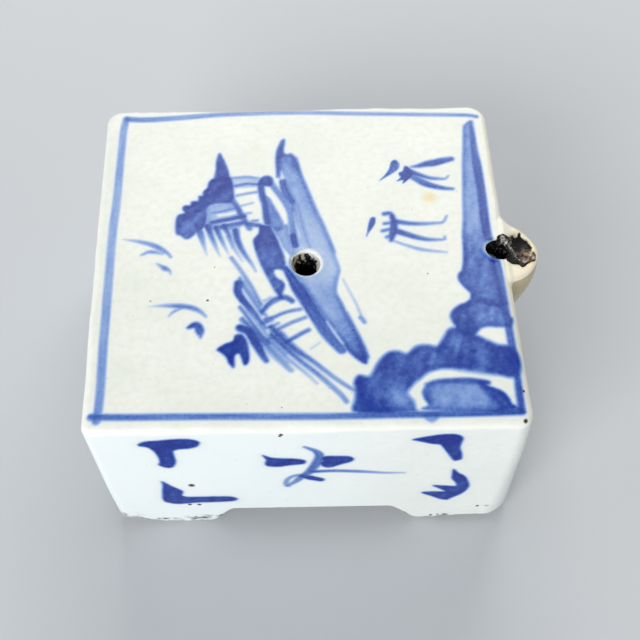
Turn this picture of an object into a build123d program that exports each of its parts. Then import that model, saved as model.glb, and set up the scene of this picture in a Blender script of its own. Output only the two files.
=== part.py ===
# Calligraphy water dropper: a hollow porcelain block built from slabs, on four bracket feet.
# Water goes in, and air is let in, through the hole in the top. A finger over that hole holds
# the water back. Without it the water leaves drop by drop through the bore of the spout.
# Millimetres, +Z up, front towards -Y, spout towards +X. The origin is on the ground, under
# the middle of the whole object's bounding box.
import math
import os

from build123d import *

# Body
body_width = 63.0
body_depth = 60.0
body_height = 33.0
corner_radius = 2.6
arris_radius = 1.2

# Slabs that the body is joined from
wall_thickness = 3.6
top_thickness = 3.4
base_thickness = 3.0
base_clearance = 0.05
base_setback = 1.0

# Bracket feet, left where the apron is cut out of the walls' lower edges
foot_height = 5.0
foot_width = 19.3
toe_inset = 3.6
toe_radius = 2.0
apron_radius = 1.5
foot_rim_radius = 0.8

# Coils of clay, pressed into the inner seams and smoothed with a finger
coil_leg = 3.0
coil_land = 0.5

# Air hole
air_hole_radius = 2.2
air_hole_rim_radius = 0.4
air_hole_right = 0.8
air_hole_forward = 1.9

# Spout: a half-round lug with a dished top, and a bore that slants into the chamber
spout_radius = 6.4
spout_inset = 1.7
spout_drop = 0.25
spout_rim_height = 1.0
spout_rim_radius = 0.6
spout_side_radius = 18.0
dish_radius = 2.6
dish_depth = 1.3
dish_reach = 1.5
mouth_inset = 1.3
bore_radius = 1.8
bore_lean = 33.0

# How far a cutter runs past what it cuts
overrun = 1.0

inner_width = body_width - 2 * wall_thickness
inner_depth = body_depth - 2 * wall_thickness
seam_height = body_height - top_thickness
base_underside = foot_height + base_setback
base_top = base_underside + base_thickness
spout_axis_x = body_width / 2 - spout_inset
mouth_x = body_width / 2 - mouth_inset
spout_top = body_height - spout_drop
spout_reach = spout_radius - spout_inset

# The plan's corners anticlockwise from the front left one, and the side that starts at each
CORNERS = {"front_left": (-1, -1), "front_right": (1, -1), "back_right": (1, 1), "back_left": (-1, 1)}
SIDES = ("front", "right", "back", "left")


def body_block():
    """The outer form as one block, with round upright corners, worn arris and eased foot rim."""
    block = extrude(RectangleRounded(body_width, body_depth, corner_radius), body_height)
    block = fillet(block.edges().group_by(Axis.Z)[-1], arris_radius)
    return fillet(block.edges().group_by(Axis.Z)[0], foot_rim_radius)


def apron_cutter(side_length, through):
    """The gap between the feet of two opposite walls: a level apron that flares into round toes."""
    apron_half = side_length / 2 - foot_width
    toe_half = apron_half + toe_inset
    sole_half = toe_half + 2 * toe_radius
    corners = [
        ((-sole_half, -overrun), 0),
        ((-sole_half, 0), 0),
        ((-toe_half, 0), toe_radius),
        ((-apron_half, foot_height), apron_radius),
        ((apron_half, foot_height), apron_radius),
        ((toe_half, 0), toe_radius),
        ((sole_half, 0), 0),
        ((sole_half, -overrun), 0),
    ]
    points = [point for point, radius in corners]
    radii = [radius for point, radius in corners]
    outline = FilletPolyline(*points, radius=radii, close=True)
    arch = make_face(Plane.XZ * outline)
    return extrude(arch, through / 2 + overrun, both=True)


def wall_ring(block):
    """The four walls in one, before they are mitred: the block below the seam, hollow and arched."""
    below_seam = extrude(Rectangle(body_width, body_depth), seam_height)
    chamber = extrude(Rectangle(inner_width, inner_depth), seam_height)
    ring = (block & below_seam) - chamber
    ring -= apron_cutter(body_width, body_depth)
    return ring - Rot(Z=90) * apron_cutter(body_depth, body_width)


def mitre_wedge(start, end):
    """The upright space of one wall, from one corner of the plan to the next, mitred at both."""

    def corner(signs, inset):
        return (signs[0] * (body_width / 2 - inset), signs[1] * (body_depth / 2 - inset))

    plan = Polyline(
        corner(start, 0),
        corner(end, 0),
        corner(end, wall_thickness),
        corner(start, wall_thickness),
        close=True,
    )
    return extrude(make_face(plan), seam_height)


def spout_bore():
    """The water's way out: a slanting hole from the spout's top, through slab and wall."""
    lean = math.radians(bore_lean)
    drop_to_chamber = (wall_thickness - mouth_inset + bore_radius / math.cos(lean)) / math.tan(lean)
    run = drop_to_chamber / math.cos(lean) + bore_radius
    drill = Cylinder(bore_radius, run + spout_radius, align=(Align.CENTER, Align.CENTER, Align.MIN))
    return Pos(mouth_x, 0, body_height) * Rot(Y=bore_lean) * Pos(0, 0, -run) * drill


def top_slab(block):
    """The lid: the block above the seam, pierced by the air hole, whose rim the glaze rounds."""
    above_seam = Pos(0, 0, seam_height) * extrude(Rectangle(body_width, body_depth), top_thickness)
    air_hole = extrude(Circle(air_hole_radius), body_height + overrun)
    slab = (block & above_seam) - Pos(air_hole_right, -air_hole_forward, 0) * air_hole

    def is_hole_edge(edge):
        return edge.geom_type == GeomType.CIRCLE and math.isclose(edge.radius, air_hole_radius)

    rim = slab.edges().filter_by(is_hole_edge).sort_by(Axis.Z)[-1]
    return fillet(rim, air_hole_rim_radius) - spout_bore()


def base_slab():
    """The floor of the chamber, let in between the walls above the apron's edge."""
    plan = Rectangle(inner_width - 2 * base_clearance, inner_depth - 2 * base_clearance)
    return Pos(0, 0, base_underside) * extrude(plan, base_thickness)


def spout(block):
    """The lug: turned about an upright axis, trimmed to the wall and the arris, dished on top."""
    rim_base = spout_top - spout_rim_height
    side_turn = math.degrees(math.acos((spout_side_radius - spout_radius) / spout_side_radius))
    side = JernArc((spout_radius, rim_base), (0, -1), spout_side_radius, -side_turn)
    rim = FilletPolyline(
        (0, spout_top),
        (spout_radius, spout_top),
        (spout_radius, rim_base),
        radius=spout_rim_radius,
    )
    middle = Line(side @ 1, (0, spout_top))
    profile = make_face(Plane.XZ * (rim + side + middle))
    lug = Pos(spout_axis_x, 0, 0) * revolve(profile, Axis.Z)
    ball_radius = (dish_radius**2 + dish_depth**2) / (2 * dish_depth)
    ball_height = spout_top - dish_depth + ball_radius
    dish = Pos(body_width / 2 + dish_reach, 0, ball_height) * Sphere(ball_radius)
    return lug - block - dish - spout_bore()


def coil_section():
    """A seam coil's section, its corner at the origin: two flats and a finger-wide hollow."""
    square = Rectangle(coil_leg, coil_leg, align=(Align.MIN, Align.MIN))
    return square - Pos(coil_leg, coil_leg) * Circle(coil_leg - coil_land)


def corner_coil(index):
    """The coil down one inner corner, from the lid to the base."""
    signs = list(CORNERS.values())[index]
    coil = extrude(coil_section(), seam_height - base_top)
    place = Pos(signs[0] * inner_width / 2, signs[1] * inner_depth / 2, base_top)
    return place * Rot(Z=90 * index) * coil


def base_coil(index):
    """The coil along one side of the base, between two corner coils."""
    along = (inner_width, inner_depth)[index % 2]
    across = (inner_depth, inner_width)[index % 2]
    run = along - 2 * coil_leg
    start = Plane(origin=(-run / 2, -across / 2, base_top), x_dir=(0, 1, 0), z_dir=(1, 0, 0))
    return Rot(Z=90 * index) * extrude(start * coil_section(), run)


block = body_block()
ring = wall_ring(block)
parts = {"top_slab": top_slab(block), "base_slab": base_slab(), "spout": spout(block)}
for index, (name, signs) in enumerate(CORNERS.items()):
    next_signs = list(CORNERS.values())[(index + 1) % len(CORNERS)]
    wall = ring & mitre_wedge(signs, next_signs)
    if SIDES[index] == "right":
        wall -= spout_bore()
    parts[SIDES[index] + "_wall"] = wall
    parts["corner_coil_" + name] = corner_coil(index)
    parts["base_coil_" + SIDES[index]] = base_coil(index)

# The spout makes the whole longer on one side, so the body stands off the origin by half of it
os.makedirs("parts", exist_ok=True)
for name, shape in parts.items():
    export_step(Pos(-spout_reach / 2, 0, 0) * shape, f"parts/{name}.step")
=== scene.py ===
import math

import bpy
import numpy as np
from mathutils import Matrix, Vector


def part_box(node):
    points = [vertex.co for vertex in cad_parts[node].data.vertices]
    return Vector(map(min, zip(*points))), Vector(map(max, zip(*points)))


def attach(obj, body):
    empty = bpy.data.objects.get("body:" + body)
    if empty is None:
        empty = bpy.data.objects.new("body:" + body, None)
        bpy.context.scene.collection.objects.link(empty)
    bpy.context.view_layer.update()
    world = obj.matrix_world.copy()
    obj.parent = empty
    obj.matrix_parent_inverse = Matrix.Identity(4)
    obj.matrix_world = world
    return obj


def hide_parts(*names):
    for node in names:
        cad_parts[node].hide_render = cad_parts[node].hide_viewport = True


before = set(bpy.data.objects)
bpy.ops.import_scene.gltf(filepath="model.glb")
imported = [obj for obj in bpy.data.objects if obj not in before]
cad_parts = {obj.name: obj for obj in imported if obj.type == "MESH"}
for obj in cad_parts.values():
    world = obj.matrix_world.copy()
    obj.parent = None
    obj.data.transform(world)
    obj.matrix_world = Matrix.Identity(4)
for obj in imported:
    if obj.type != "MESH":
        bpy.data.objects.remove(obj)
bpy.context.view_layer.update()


# The photograph's view, from the front and 58 degrees above the ground, 176 mm from the middle of
# the dropper, with the camera rolled by one degree. A fit to the body's corners gave the values,
# which are in millimetres like every size in this file, unless a comment says otherwise.
MM = 0.001
view_target = (0.44, -1.80, 16.6)
view_distance = 176.26
view_yaw, view_pitch, view_roll = (math.radians(a) for a in (0.110, 57.554, -1.055))
focal_length_pixels = 1071.2
picture_pixels = 640

forward = np.array([
    -math.sin(view_yaw) * math.cos(view_pitch),
    math.cos(view_yaw) * math.cos(view_pitch),
    -math.sin(view_pitch),
])
level_right = np.array([math.cos(view_yaw), math.sin(view_yaw), 0.0])
level_up = np.cross(level_right, forward)
right = math.cos(view_roll) * level_right + math.sin(view_roll) * level_up
up = math.cos(view_roll) * level_up - math.sin(view_roll) * level_right
camera_place = (np.array(view_target) - view_distance * forward) * MM

camera = bpy.data.objects.new("camera", bpy.data.cameras.new("camera"))
camera.data.sensor_width = 36.0
camera.data.lens = camera.data.sensor_width * focal_length_pixels / picture_pixels
camera.data.clip_start = 0.01
camera.matrix_world = Matrix([[*row] for row in np.column_stack([
    np.append(right, 0), np.append(up, 0), np.append(-forward, 0), np.append(camera_place, 1)
])])
bpy.context.scene.collection.objects.link(camera)
bpy.context.scene.camera = camera
bpy.context.scene.view_settings.view_transform = "Standard"


# Four walls: slabs of white porcelain clay, mitred and luted at the corners, with an apron cut out
# between two feet below. Glaze and fire made one skin of every piece, so each is cut out of the
# same fired block. Its skin is worked out about the middle of the body.
slab_low, slab_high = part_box("top_slab")
wall_low, wall_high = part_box("front_wall")
body_middle = (slab_low.x + slab_high.x) / 2 / MM
half_width = (slab_high.x - slab_low.x) / 2 / MM
half_depth = (slab_high.y - slab_low.y) / 2 / MM
height = slab_high.z / MM
seam = slab_low.z / MM
wall_thickness = (wall_high.y - wall_low.y) / MM
half_chamber_width = half_width - wall_thickness
half_chamber_depth = half_depth - wall_thickness

apron_height = 5.0
front_left_radius, front_left_flare = 1.4, 0.6
front_right_radius, front_right_flare = 2.3, 2.5
back_left_radius, back_right_radius, back_flare = 2.6, 3.2, 0.6
arris_radius = 1.15
arris_wear_broad, arris_wear_fine = 0.3, 0.16
inner_edge_radius = 0.6
foot_rim_radius = 0.7
foot_wear = 0.16
# How far the front's left foot, the right foot's inner edge and its tip warped off the table
left_foot_lift, right_edge_lift, right_tip_lift = 2.0, 0.6, 0.7
# Chips that the feet have lost: the middle of each, and its reach
foot_chips = (
    ((19.6, -30.5, -0.1), (0.8, 0.8, 0.45)),
    ((21.2, -30.6, 0.9), (0.9, 0.7, 0.5)),
    ((-20.9, -30.5, -0.1), (1.1, 0.8, 0.4)),
    ((-13.7, -30.5, 1.6), (0.6, 0.7, 0.4)),
    ((32.1, 18.0, 0.5), (0.8, 1.3, 0.7)),
    ((-32.0, 23.0, 0.1), (0.8, 1.8, 0.6)),
    ((-8.0, 30.6, 5.4), (1.2, 0.7, 0.6)),
)
# Smudges of dirt low on the front: the middle of each, its reach, and how dark it is
foot_smudges = (
    ((-29.3, 3.5), (2.2, 0.9), 0.70),
    ((-18.0, 2.2), (2.8, 1.1), 0.85),
    ((-19.3, 1.3), (0.9, 0.4), 0.95),
    ((-24.2, 1.6), (3.0, 0.6), 0.75),
    ((20.8, 1.5), (1.2, 0.6), 0.75),
    ((27.4, 4.9), (0.5, 0.4), 0.60),
)
# A mesh is made on a grid this fine, and its outer planes stand clear of the skin
wall_grid = 0.23
clear = 1


def smooth(t):
    """Eases from 0 to 1."""
    t = np.clip(t, 0, 1)
    return t * t * (3 - 2 * t)


def cloud(u, v, size, seed):
    """Soft random patches from -1 to 1, each about size across."""
    lattice = np.random.default_rng(seed).uniform(-1, 1, (64, 64))
    u, v = u / size, v / size
    i, j = np.floor(u).astype(int), np.floor(v).astype(int)
    s, t = smooth(u - i), smooth(v - j)
    near = lattice[i % 64, j % 64] * (1 - s) + lattice[(i + 1) % 64, j % 64] * s
    far = lattice[i % 64, (j + 1) % 64] * (1 - s) + lattice[(i + 1) % 64, (j + 1) % 64] * s
    return near * (1 - t) + far * t


def eased(a, b, radius):
    """Where two faces meet in an outer edge of that radius. Inside is below zero."""
    rounded = np.hypot(np.maximum(a + radius, 0), np.maximum(b + radius, 0))
    return np.minimum(np.maximum(a, b), -radius) + rounded


def luted(a, b, radius):
    """Where two bodies join in a smeared hollow of that radius."""
    hollow = np.hypot(np.maximum(radius - a, 0), np.maximum(radius - b, 0))
    return np.maximum(np.minimum(a, b), radius) - hollow


def soles(x, y, z):
    """The lower edge: an apron between two feet on each side, warped and worn where it stands."""
    sole = foot_wear + 0.14 * cloud(x, y, 3.1, 2) + 0.12 * cloud(x, y, 0.9, 3)
    lift = left_foot_lift * smooth((-x - 23) / 8) + right_edge_lift * smooth((x - 19.2) / 1.0)
    lift = lift + right_tip_lift * smooth((x - 27) / 4)
    sole = sole + lift * smooth((-y - 14) / 12)
    edges = []
    # For each direction: where the apron's edge starts to fall to the foot, and over what length
    toes = (
        (x, np.where(x < 0, 12.0, 11.6), np.where(x < 0, 4.6, 4.9)),
        (y, np.where(y < 0, 10.4, 10.0), np.where(y < 0, 5.2, 4.8)),
    )
    for along, start, run in toes:
        t = np.clip((np.abs(along) - start) / run, 0, 1)
        slope = apron_height * 6 * t * (1 - t) / run
        edge = apron_height * (1 - smooth(t)) + sole * smooth(t)
        edges.append((edge - z) / np.sqrt(1 + slope**2))
    return np.maximum(*edges)


def fired_block(x, y, z):
    """How far a point is outside the fired body, before holes and spout."""
    flare = np.clip(1 - z / height, 0, 1) ** 2
    front_left = front_left_radius + front_left_flare * flare
    front_right = front_right_radius + front_right_flare * flare
    back = np.where(x < 0, back_left_radius, back_right_radius) + back_flare * flare
    corner = np.where(y < 0, np.where(x < 0, front_left, front_right), back)
    plan = eased(np.abs(x) - half_width, np.abs(y) - half_depth, corner)
    arris = arris_radius + arris_wear_broad * cloud(x + y, x - y, 11, 1)
    arris = arris + arris_wear_fine * cloud(x + y, x - y, 2.7, 5)
    return eased(eased(plan, z - height, arris), soles(x, y, z), foot_rim_radius)


def chips(x, y, z):
    """How far inside a chip of the feet a point lies."""
    depth, roughness = -9.0, 0.12
    for middle, reach in foot_chips:
        spread = [(a - b) / size for a, b, size in zip((x, y, z), middle, reach)]
        gap = np.sqrt(spread[0] ** 2 + spread[1] ** 2 + spread[2] ** 2)
        depth = np.maximum(depth, (1 - gap) * min(reach))
    return depth + roughness * cloud(x + y, z, 0.5, 4)


def walls_skin(x, y, z):
    """The block, hollow below, with the chips that its feet have lost."""
    inset = 0.3
    hollow = -np.maximum(
        np.abs(x) - half_chamber_width + inset, np.abs(y) - half_chamber_depth + inset
    )
    skin = np.maximum(fired_block(x, y, z), eased(hollow, soles(x, y, z), inner_edge_radius))
    return np.maximum(skin, chips(x, y, z))


def hand_made(p):
    """Moves points as the maker's hand and the kiln did: out of square, leaning and wavy."""
    x, y, z = p.T
    skew, lean, foot_spread, wave, wave_size = -0.0244, 0.012, 0.5, 0.10, 13.0
    spread = foot_spread * np.clip(x / half_width, 0, 1) * (1 - z / height)
    return np.column_stack([
        x + skew * y + lean * (height - z) + spread + wave * cloud(y, z, wave_size, 11),
        y + wave * cloud(x, z, wave_size, 12),
        z + wave * cloud(x, y, wave_size, 13) * smooth(z / 10),
    ])


def slopes(skin, p):
    """The skin's depth and slope at each point."""
    step = 0.01
    slope = np.empty_like(p)
    for axis in range(3):
        ahead, behind = p.copy(), p.copy()
        ahead[:, axis] += step
        behind[:, axis] -= step
        slope[:, axis] = (skin(*ahead.T) - skin(*behind.T)) / (2 * step)
    return skin(*p.T), slope


def merge_flat(quads, centres):
    """Joins the quads of a flat cut, tile by tile, into large faces. A tile that doesn't have one
    simple rim keeps its quads."""
    tile, shift = 8.0, 0.013
    tiles = np.floor(centres / tile + shift).astype(int)
    faces = []
    for key in np.unique(tiles, axis=0):
        group = quads[(tiles == key).all(1)]
        pairs = {(int(q[k]), int(q[(k + 1) % 4])) for q in group for k in range(4)}
        rim = {a: b for a, b in pairs if (b, a) not in pairs}
        count = sum((b, a) not in pairs for a, b in pairs)
        loop = [next(iter(sorted(rim)))]
        while rim[loop[-1]] != loop[0] and len(loop) <= count:
            loop.append(rim[loop[-1]])
        if len(loop) == count:
            faces.append(loop)
        else:
            faces.extend(group.tolist())
    return faces


def grid_crossings(depths, outer_count, inside, ticks, grid):
    """Where the grid's lines leave the piece: the four cells round each such line, the place, and
    the number of the depth that ends the piece there. Depths from outer_count on are a notch's
    planes, and a point has to be beyond all of them to be in the notch."""
    corners, crossings, owners = [], [], []
    for axis in range(3):
        step = np.eye(3, dtype=int)[axis]
        ends = [slice(None)] * 3, [slice(None)] * 3
        ends[0][axis], ends[1][axis] = slice(None, -1), slice(1, None)
        start = np.argwhere(inside[tuple(ends[0])] != inside[tuple(ends[1])])
        here, there = tuple(start.T), tuple((start + step).T)
        outward = inside[here]
        nearest, deepest = np.full(len(start), 2.0), np.full(len(start), -1.0)
        owner, notch_owner = np.zeros(len(start), int), np.zeros(len(start), int)
        in_notch = np.full(len(start), outer_count < len(depths))
        for index, depth in enumerate(depths):
            a = np.where(outward, depth[here], depth[there])
            b = np.where(outward, depth[there], depth[here])
            crossed = (a < 0) & (b >= 0)
            t = np.where(crossed, a / np.where(crossed, a - b, 1), -1)
            if index < outer_count:
                closer = crossed & (t < nearest)
                nearest, owner = np.where(closer, t, nearest), np.where(closer, index, owner)
            else:
                in_notch &= b >= 0
                deeper = crossed & (t > deepest)
                deepest = np.where(deeper, t, deepest)
                notch_owner = np.where(deeper, index, notch_owner)
        closer = in_notch & (deepest < nearest)
        nearest, owner = np.where(closer, deepest, nearest), np.where(closer, notch_owner, owner)
        share = np.where(outward, nearest, 1 - nearest)
        at = np.column_stack([ticks[k][start[:, k]] for k in range(3)])
        at[:, axis] += share * grid
        one, two = np.eye(3, dtype=int)[(axis + 1) % 3], np.eye(3, dtype=int)[(axis + 2) % 3]
        ring = [start - one - two, start - two, start, start - one]
        cells = np.stack([np.ravel_multi_index(tuple(c.T), inside.shape) for c in ring], 1)
        cells[~outward] = cells[~outward, ::-1]
        corners.append(cells)
        crossings.append(at)
        owners.append(owner)
    return [np.concatenate(a) for a in (corners, crossings, owners)]


def settle(points, touching, skin, cuts, grid):
    """Moves each point onto the skin and the cuts that it touches, so that edges come out sharp."""
    passes, damping, tiny = 4, 1e-5, 1e-9
    for pattern in np.unique(touching, axis=0):
        rows = np.flatnonzero((touching == pattern).all(1))
        p = points[rows]
        for _ in range(passes):
            values, directions = [], []
            for index in np.flatnonzero(pattern):
                if index == 0:
                    value, direction = slopes(skin, p)
                else:
                    normal, offset = cuts[index - 1]
                    value, direction = p @ normal - offset, np.broadcast_to(normal, p.shape)
                values.append(value)
                directions.append(direction)
            values, directions = np.stack(values, 1), np.stack(directions, 1)
            square = directions @ directions.transpose(0, 2, 1) + damping * np.eye(len(values[0]))
            move = np.linalg.solve(square, values[:, :, None])
            move = (directions.transpose(0, 2, 1) @ move)[:, :, 0]
            far = np.linalg.norm(move, axis=1, keepdims=True)
            p = p - move * np.minimum(1, grid / np.maximum(far, tiny))
        points[rows] = p


def bent(points, slope):
    """Where the kiln moved the points, and the way that the skin faces there."""
    across = np.cross(slope, np.where(np.abs(slope[:, :1]) < 0.8, [[1.0, 0, 0]], [[0, 1.0, 0]]))
    across /= np.linalg.norm(across, axis=1, keepdims=True)
    along = np.cross(slope, across)
    moved = hand_made(points)
    reach = 0.2
    facing = np.cross(
        hand_made(points + reach * across) - moved, hand_made(points + reach * along) - moved
    )
    facing *= np.sign((facing * slope).sum(1, keepdims=True))
    facing /= np.linalg.norm(facing, axis=1, keepdims=True)
    return moved, facing


def fire_piece(name, skin, low, high, grid, mitres=(), notch=()):
    """Makes the mesh of what lies inside the skin, from corner low to corner high, before the
    mitre planes and outside the notch, which is beyond all of its planes. Returns the object, its
    points before the kiln moved them, and their slopes."""
    cuts = [(np.eye(3)[axis], high[axis]) for axis in range(3)]
    cuts += [(-np.eye(3)[axis], -low[axis]) for axis in range(3)]
    cuts += [(np.array(normal, float), offset) for normal, offset in (*mitres, *notch)]
    first = [math.floor(low[axis] / grid) - 2 for axis in range(3)]
    last = [math.ceil(high[axis] / grid) + 2 for axis in range(3)]
    ticks = [(np.arange(first[k], last[k]) + 0.5) * grid for k in range(3)]
    shape = tuple(len(t) for t in ticks)
    x, y, z = ticks[0][:, None, None], ticks[1][None, :, None], ticks[2][None, None, :]
    depths = [skin(x, y, z)]
    depths += [normal[0] * x + normal[1] * y + normal[2] * z - offset for normal, offset in cuts]
    depths = [np.broadcast_to(depth, shape) for depth in depths]
    outer_count = len(depths) - len(notch)
    inside = np.logical_and.reduce([depth < 0 for depth in depths[:outer_count]])
    if notch:
        inside &= np.logical_or.reduce([depth < 0 for depth in depths[outer_count:]])

    # One point for each cell that the surface passes, between its crossings, and then settled
    corners, crossings, owners = grid_crossings(depths, outer_count, inside, ticks, grid)
    quads = np.unique(corners.ravel(), return_inverse=True)[1]
    crossing_count = np.bincount(quads)
    spread = np.repeat(crossings, 4, axis=0)
    points = np.column_stack([np.bincount(quads, spread[:, k]) for k in range(3)])
    points /= crossing_count[:, None]
    spread_owner = np.repeat(owners, 4)
    touching = np.column_stack([
        np.bincount(quads, spread_owner == index) > 0 for index in range(len(depths))
    ])
    quads = quads.reshape(-1, 4)
    settle(points, touching, skin, cuts, grid)
    slope = slopes(skin, points)[1]
    slope /= np.maximum(np.linalg.norm(slope, axis=1, keepdims=True), 1e-9)

    # Small quads on the skin, and large faces on the cuts, which other pieces hide
    faces = quads[owners == 0].tolist()
    face_cut = [0] * len(faces)
    for index in range(1, len(depths)):
        flat = quads[owners == index]
        if len(flat):
            merged = merge_flat(flat, points[flat].mean(1))
            faces += merged
            face_cut += [index] * len(merged)
    used, packed = np.unique(np.concatenate([np.array(f) for f in faces]), return_inverse=True)
    points, slope = points[used], slope[used]
    sizes = np.array([len(f) for f in faces])
    ends = np.cumsum(sizes)
    faces = [packed[end - size:end].tolist() for size, end in zip(sizes, ends)]

    moved, facing = bent(points, slope)
    mesh = bpy.data.meshes.new(name)
    mesh.from_pydata((moved + [body_middle, 0, 0]) * MM, [], faces)
    mesh.polygons.foreach_set("use_smooth", np.ones(len(faces), bool))
    loop_cut = np.repeat(face_cut, sizes)
    loop_normals = facing[packed]
    for index in range(1, len(depths)):
        loop_normals[loop_cut == index] = cuts[index - 1][0]
    mesh.normals_split_custom_set(loop_normals)
    piece = bpy.data.objects.new(name, mesh)
    bpy.context.scene.collection.objects.link(piece)
    return piece, points, slope


# The way out of each side, along x and y
side_out = {"front": (0, -1), "right": (1, 0), "back": (0, 1), "left": (-1, 0)}


def wall_mitres(side):
    """The two upright planes at which a wall meets its neighbours."""
    out = np.array(side_out[side], float)
    mitres = []
    for turn in (-1, 1):
        beside = np.array([-out[1], out[0]]) * turn
        corner = np.array([half_width, half_depth]) * (out + beside)
        normal = np.array([*(beside - out), 0]) / math.sqrt(2)
        mitres.append((normal, float(normal[:2] @ corner)))
    return mitres


# The painting is brushed on the dry clay with cobalt, which sinks in and turns blue under the
# glaze. A sheet holds the places on one face, u to the right and v up, and how much cobalt is
# laid on each, from 0 to 1. Widths and points are in millimetres.
def clean_sheet(u, v):
    """A sheet with nothing laid on it yet."""
    return {"u": u, "v": v, "laid": np.zeros(len(u))}


def drawn_line(points, closed=False):
    """A flowing line through the points, and how far along it each of its places lies."""
    p = np.array(points, float)
    if closed:
        before, after = np.roll(p, 1, 0), np.roll(p, -1, 0)
        later = np.roll(p, -2, 0)
    else:
        padded = np.vstack([2 * p[0] - p[1], p, 2 * p[-1] - p[-2]])
        before, p, after, later = padded[:-3], padded[1:-2], padded[2:-1], padded[3:]
    steps = 6
    t = np.linspace(0, 1, steps + 1)[:-1, None, None]
    line = 0.5 * (
        2 * p + (after - before) * t
        + (2 * before - 5 * p + 4 * after - later) * t**2
        + (3 * p - before - 3 * after + later) * t**3
    )
    line = line.transpose(1, 0, 2).reshape(-1, 2)
    line = np.vstack([line, line[:1] if closed else after[-1:]])
    run = np.append(0, np.cumsum(np.hypot(*np.diff(line, axis=0).T)))
    return line, run


def near_line(sheet, line, reach):
    """The places of a sheet that lie within reach of a line's box."""
    low, high = line.min(0) - reach, line.max(0) + reach
    u, v = sheet["u"], sheet["v"]
    return np.flatnonzero((u > low[0]) & (u < high[0]) & (v > low[1]) & (v < high[1]))


def lay(sheet, places, amount):
    """Adds cobalt over what is there. Where two washes cross, it darkens a little."""
    fullest, overlap = 0.995, 0.4
    old, new = sheet["laid"][places], np.clip(amount, 0, fullest)
    more, less = np.maximum(old, new), np.minimum(old, new)
    sheet["laid"][places] = more + overlap * less * (1 - more)


def brush_path(sheet, width, tone, points):
    """The places near a pull of the brush, how far outside it each lies, how loaded the brush is
    there, and two measures along and across the pull for the streaks of its hairs, which differ
    from pull to pull. Width and tone may change along it."""
    bleed, hair_length, pull_spacing = 1.2, 9, 7
    line, run = drawn_line(points)
    share = run / run[-1]
    radius = np.interp(share, np.linspace(0, 1, np.size(width)), np.ravel(width)) / 2
    load = np.interp(share, np.linspace(0, 1, np.size(tone)), np.ravel(tone))
    places = near_line(sheet, line, radius.max() + bleed)
    at = np.column_stack([sheet["u"][places], sheet["v"][places]])
    gap, amount = np.full(len(at), np.inf), np.zeros(len(at))
    along, across = np.zeros(len(at)), np.zeros(len(at))
    for k in range(len(line) - 1):
        span = line[k + 1] - line[k]
        length = max(math.hypot(*span), 1e-6)
        from_start = at - line[k]
        t = np.clip(from_start @ span / length**2, 0, 1)
        off = from_start - t[:, None] * span
        distance = np.hypot(off[:, 0], off[:, 1]) - (radius[k] + t * (radius[k + 1] - radius[k]))
        closer = distance < gap
        gap = np.where(closer, distance, gap)
        amount = np.where(closer, load[k] + t * (load[k + 1] - load[k]), amount)
        along = np.where(closer, run[k] + t * length, along)
        side = (span[0] * off[:, 1] - span[1] * off[:, 0]) / length
        across = np.where(closer, side, across)
    return places, gap, amount, along / hair_length, across + pull_spacing * line[0, 0]


def stroke(sheet, width, tone, points, soft=0.65):
    """One pull of a loaded brush, with the streaks of its hairs and an edge that bled."""
    places, gap, amount, along, across = brush_path(sheet, width, tone, points)
    cover = smooth(0.5 - gap / soft)
    hairs = 1 + 0.14 * cloud(along, across, 0.33, 21)
    pooled = 0.08 * np.exp(-(((gap + 0.2) / 0.2) ** 2))
    halo = 0.16 * np.exp(-np.maximum(gap, 0) / 0.45)
    lay(sheet, places, amount * (cover * (hairs + pooled) + halo * (1 - cover)))


def strokes(sheet, pulls):
    """A row of pulls, each with its width, how loaded the brush is, and its points."""
    for width, tone, points in pulls:
        stroke(sheet, width, tone, points)


def leave_white(sheet, width, points, share=0.8, soft=0.5):
    """A gap between two washes, which the brush left white."""
    places, gap, *_ = brush_path(sheet, width, 0, points)
    sheet["laid"][places] *= 1 - share * smooth(0.5 - gap / soft)


def outline_gap(u, v, outline):
    """How far each place lies outside a closed flowing outline. Inside is below zero."""
    line, _ = drawn_line(outline, closed=True)
    gap = np.full(np.shape(u + v), np.inf)
    inside = np.zeros(gap.shape, bool)
    for (u0, v0), (u1, v1) in zip(line[:-1], line[1:]):
        du, dv = u1 - u0, v1 - v0
        t = np.clip(((u - u0) * du + (v - v0) * dv) / max(du * du + dv * dv, 1e-9), 0, 1)
        gap = np.minimum(gap, np.hypot(u - u0 - t * du, v - v0 - t * dv))
        if v0 != v1:
            inside ^= ((v0 > v) != (v1 > v)) & (u < u0 + (v - v0) * du / dv)
    return np.where(inside, -gap, gap)


def wash(sheet, tone, outline, edge=0.08, soft=0.65, edge_width=0.5, pull=(0.3, 1.0)):
    """A wet patch inside an outline, a little darker where it dried at its rim, and streaked the
    way that the brush was pulled. Tone may vary by place."""
    bleed = 1.5
    places = near_line(sheet, np.array(outline, float), bleed)
    u, v = sheet["u"][places], sheet["v"][places]
    gap = outline_gap(u, v, outline)
    amount = tone(u, v) if callable(tone) else tone
    cover = smooth(0.5 - gap / soft)
    along, across = u * pull[0] + v * pull[1], u * pull[1] - v * pull[0]
    drift = 1 + 0.13 * cloud(along / 3.5, across, 0.8, 22) + 0.10 * cloud(u, v, 0.6, 23)
    rim = edge * np.exp(-(((gap + 0.3) / edge_width) ** 2))
    halo = 0.14 * np.exp(-np.maximum(gap, 0) / 0.5)
    lay(sheet, places, cover * (amount * drift + rim) + amount * halo * (1 - cover))


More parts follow.
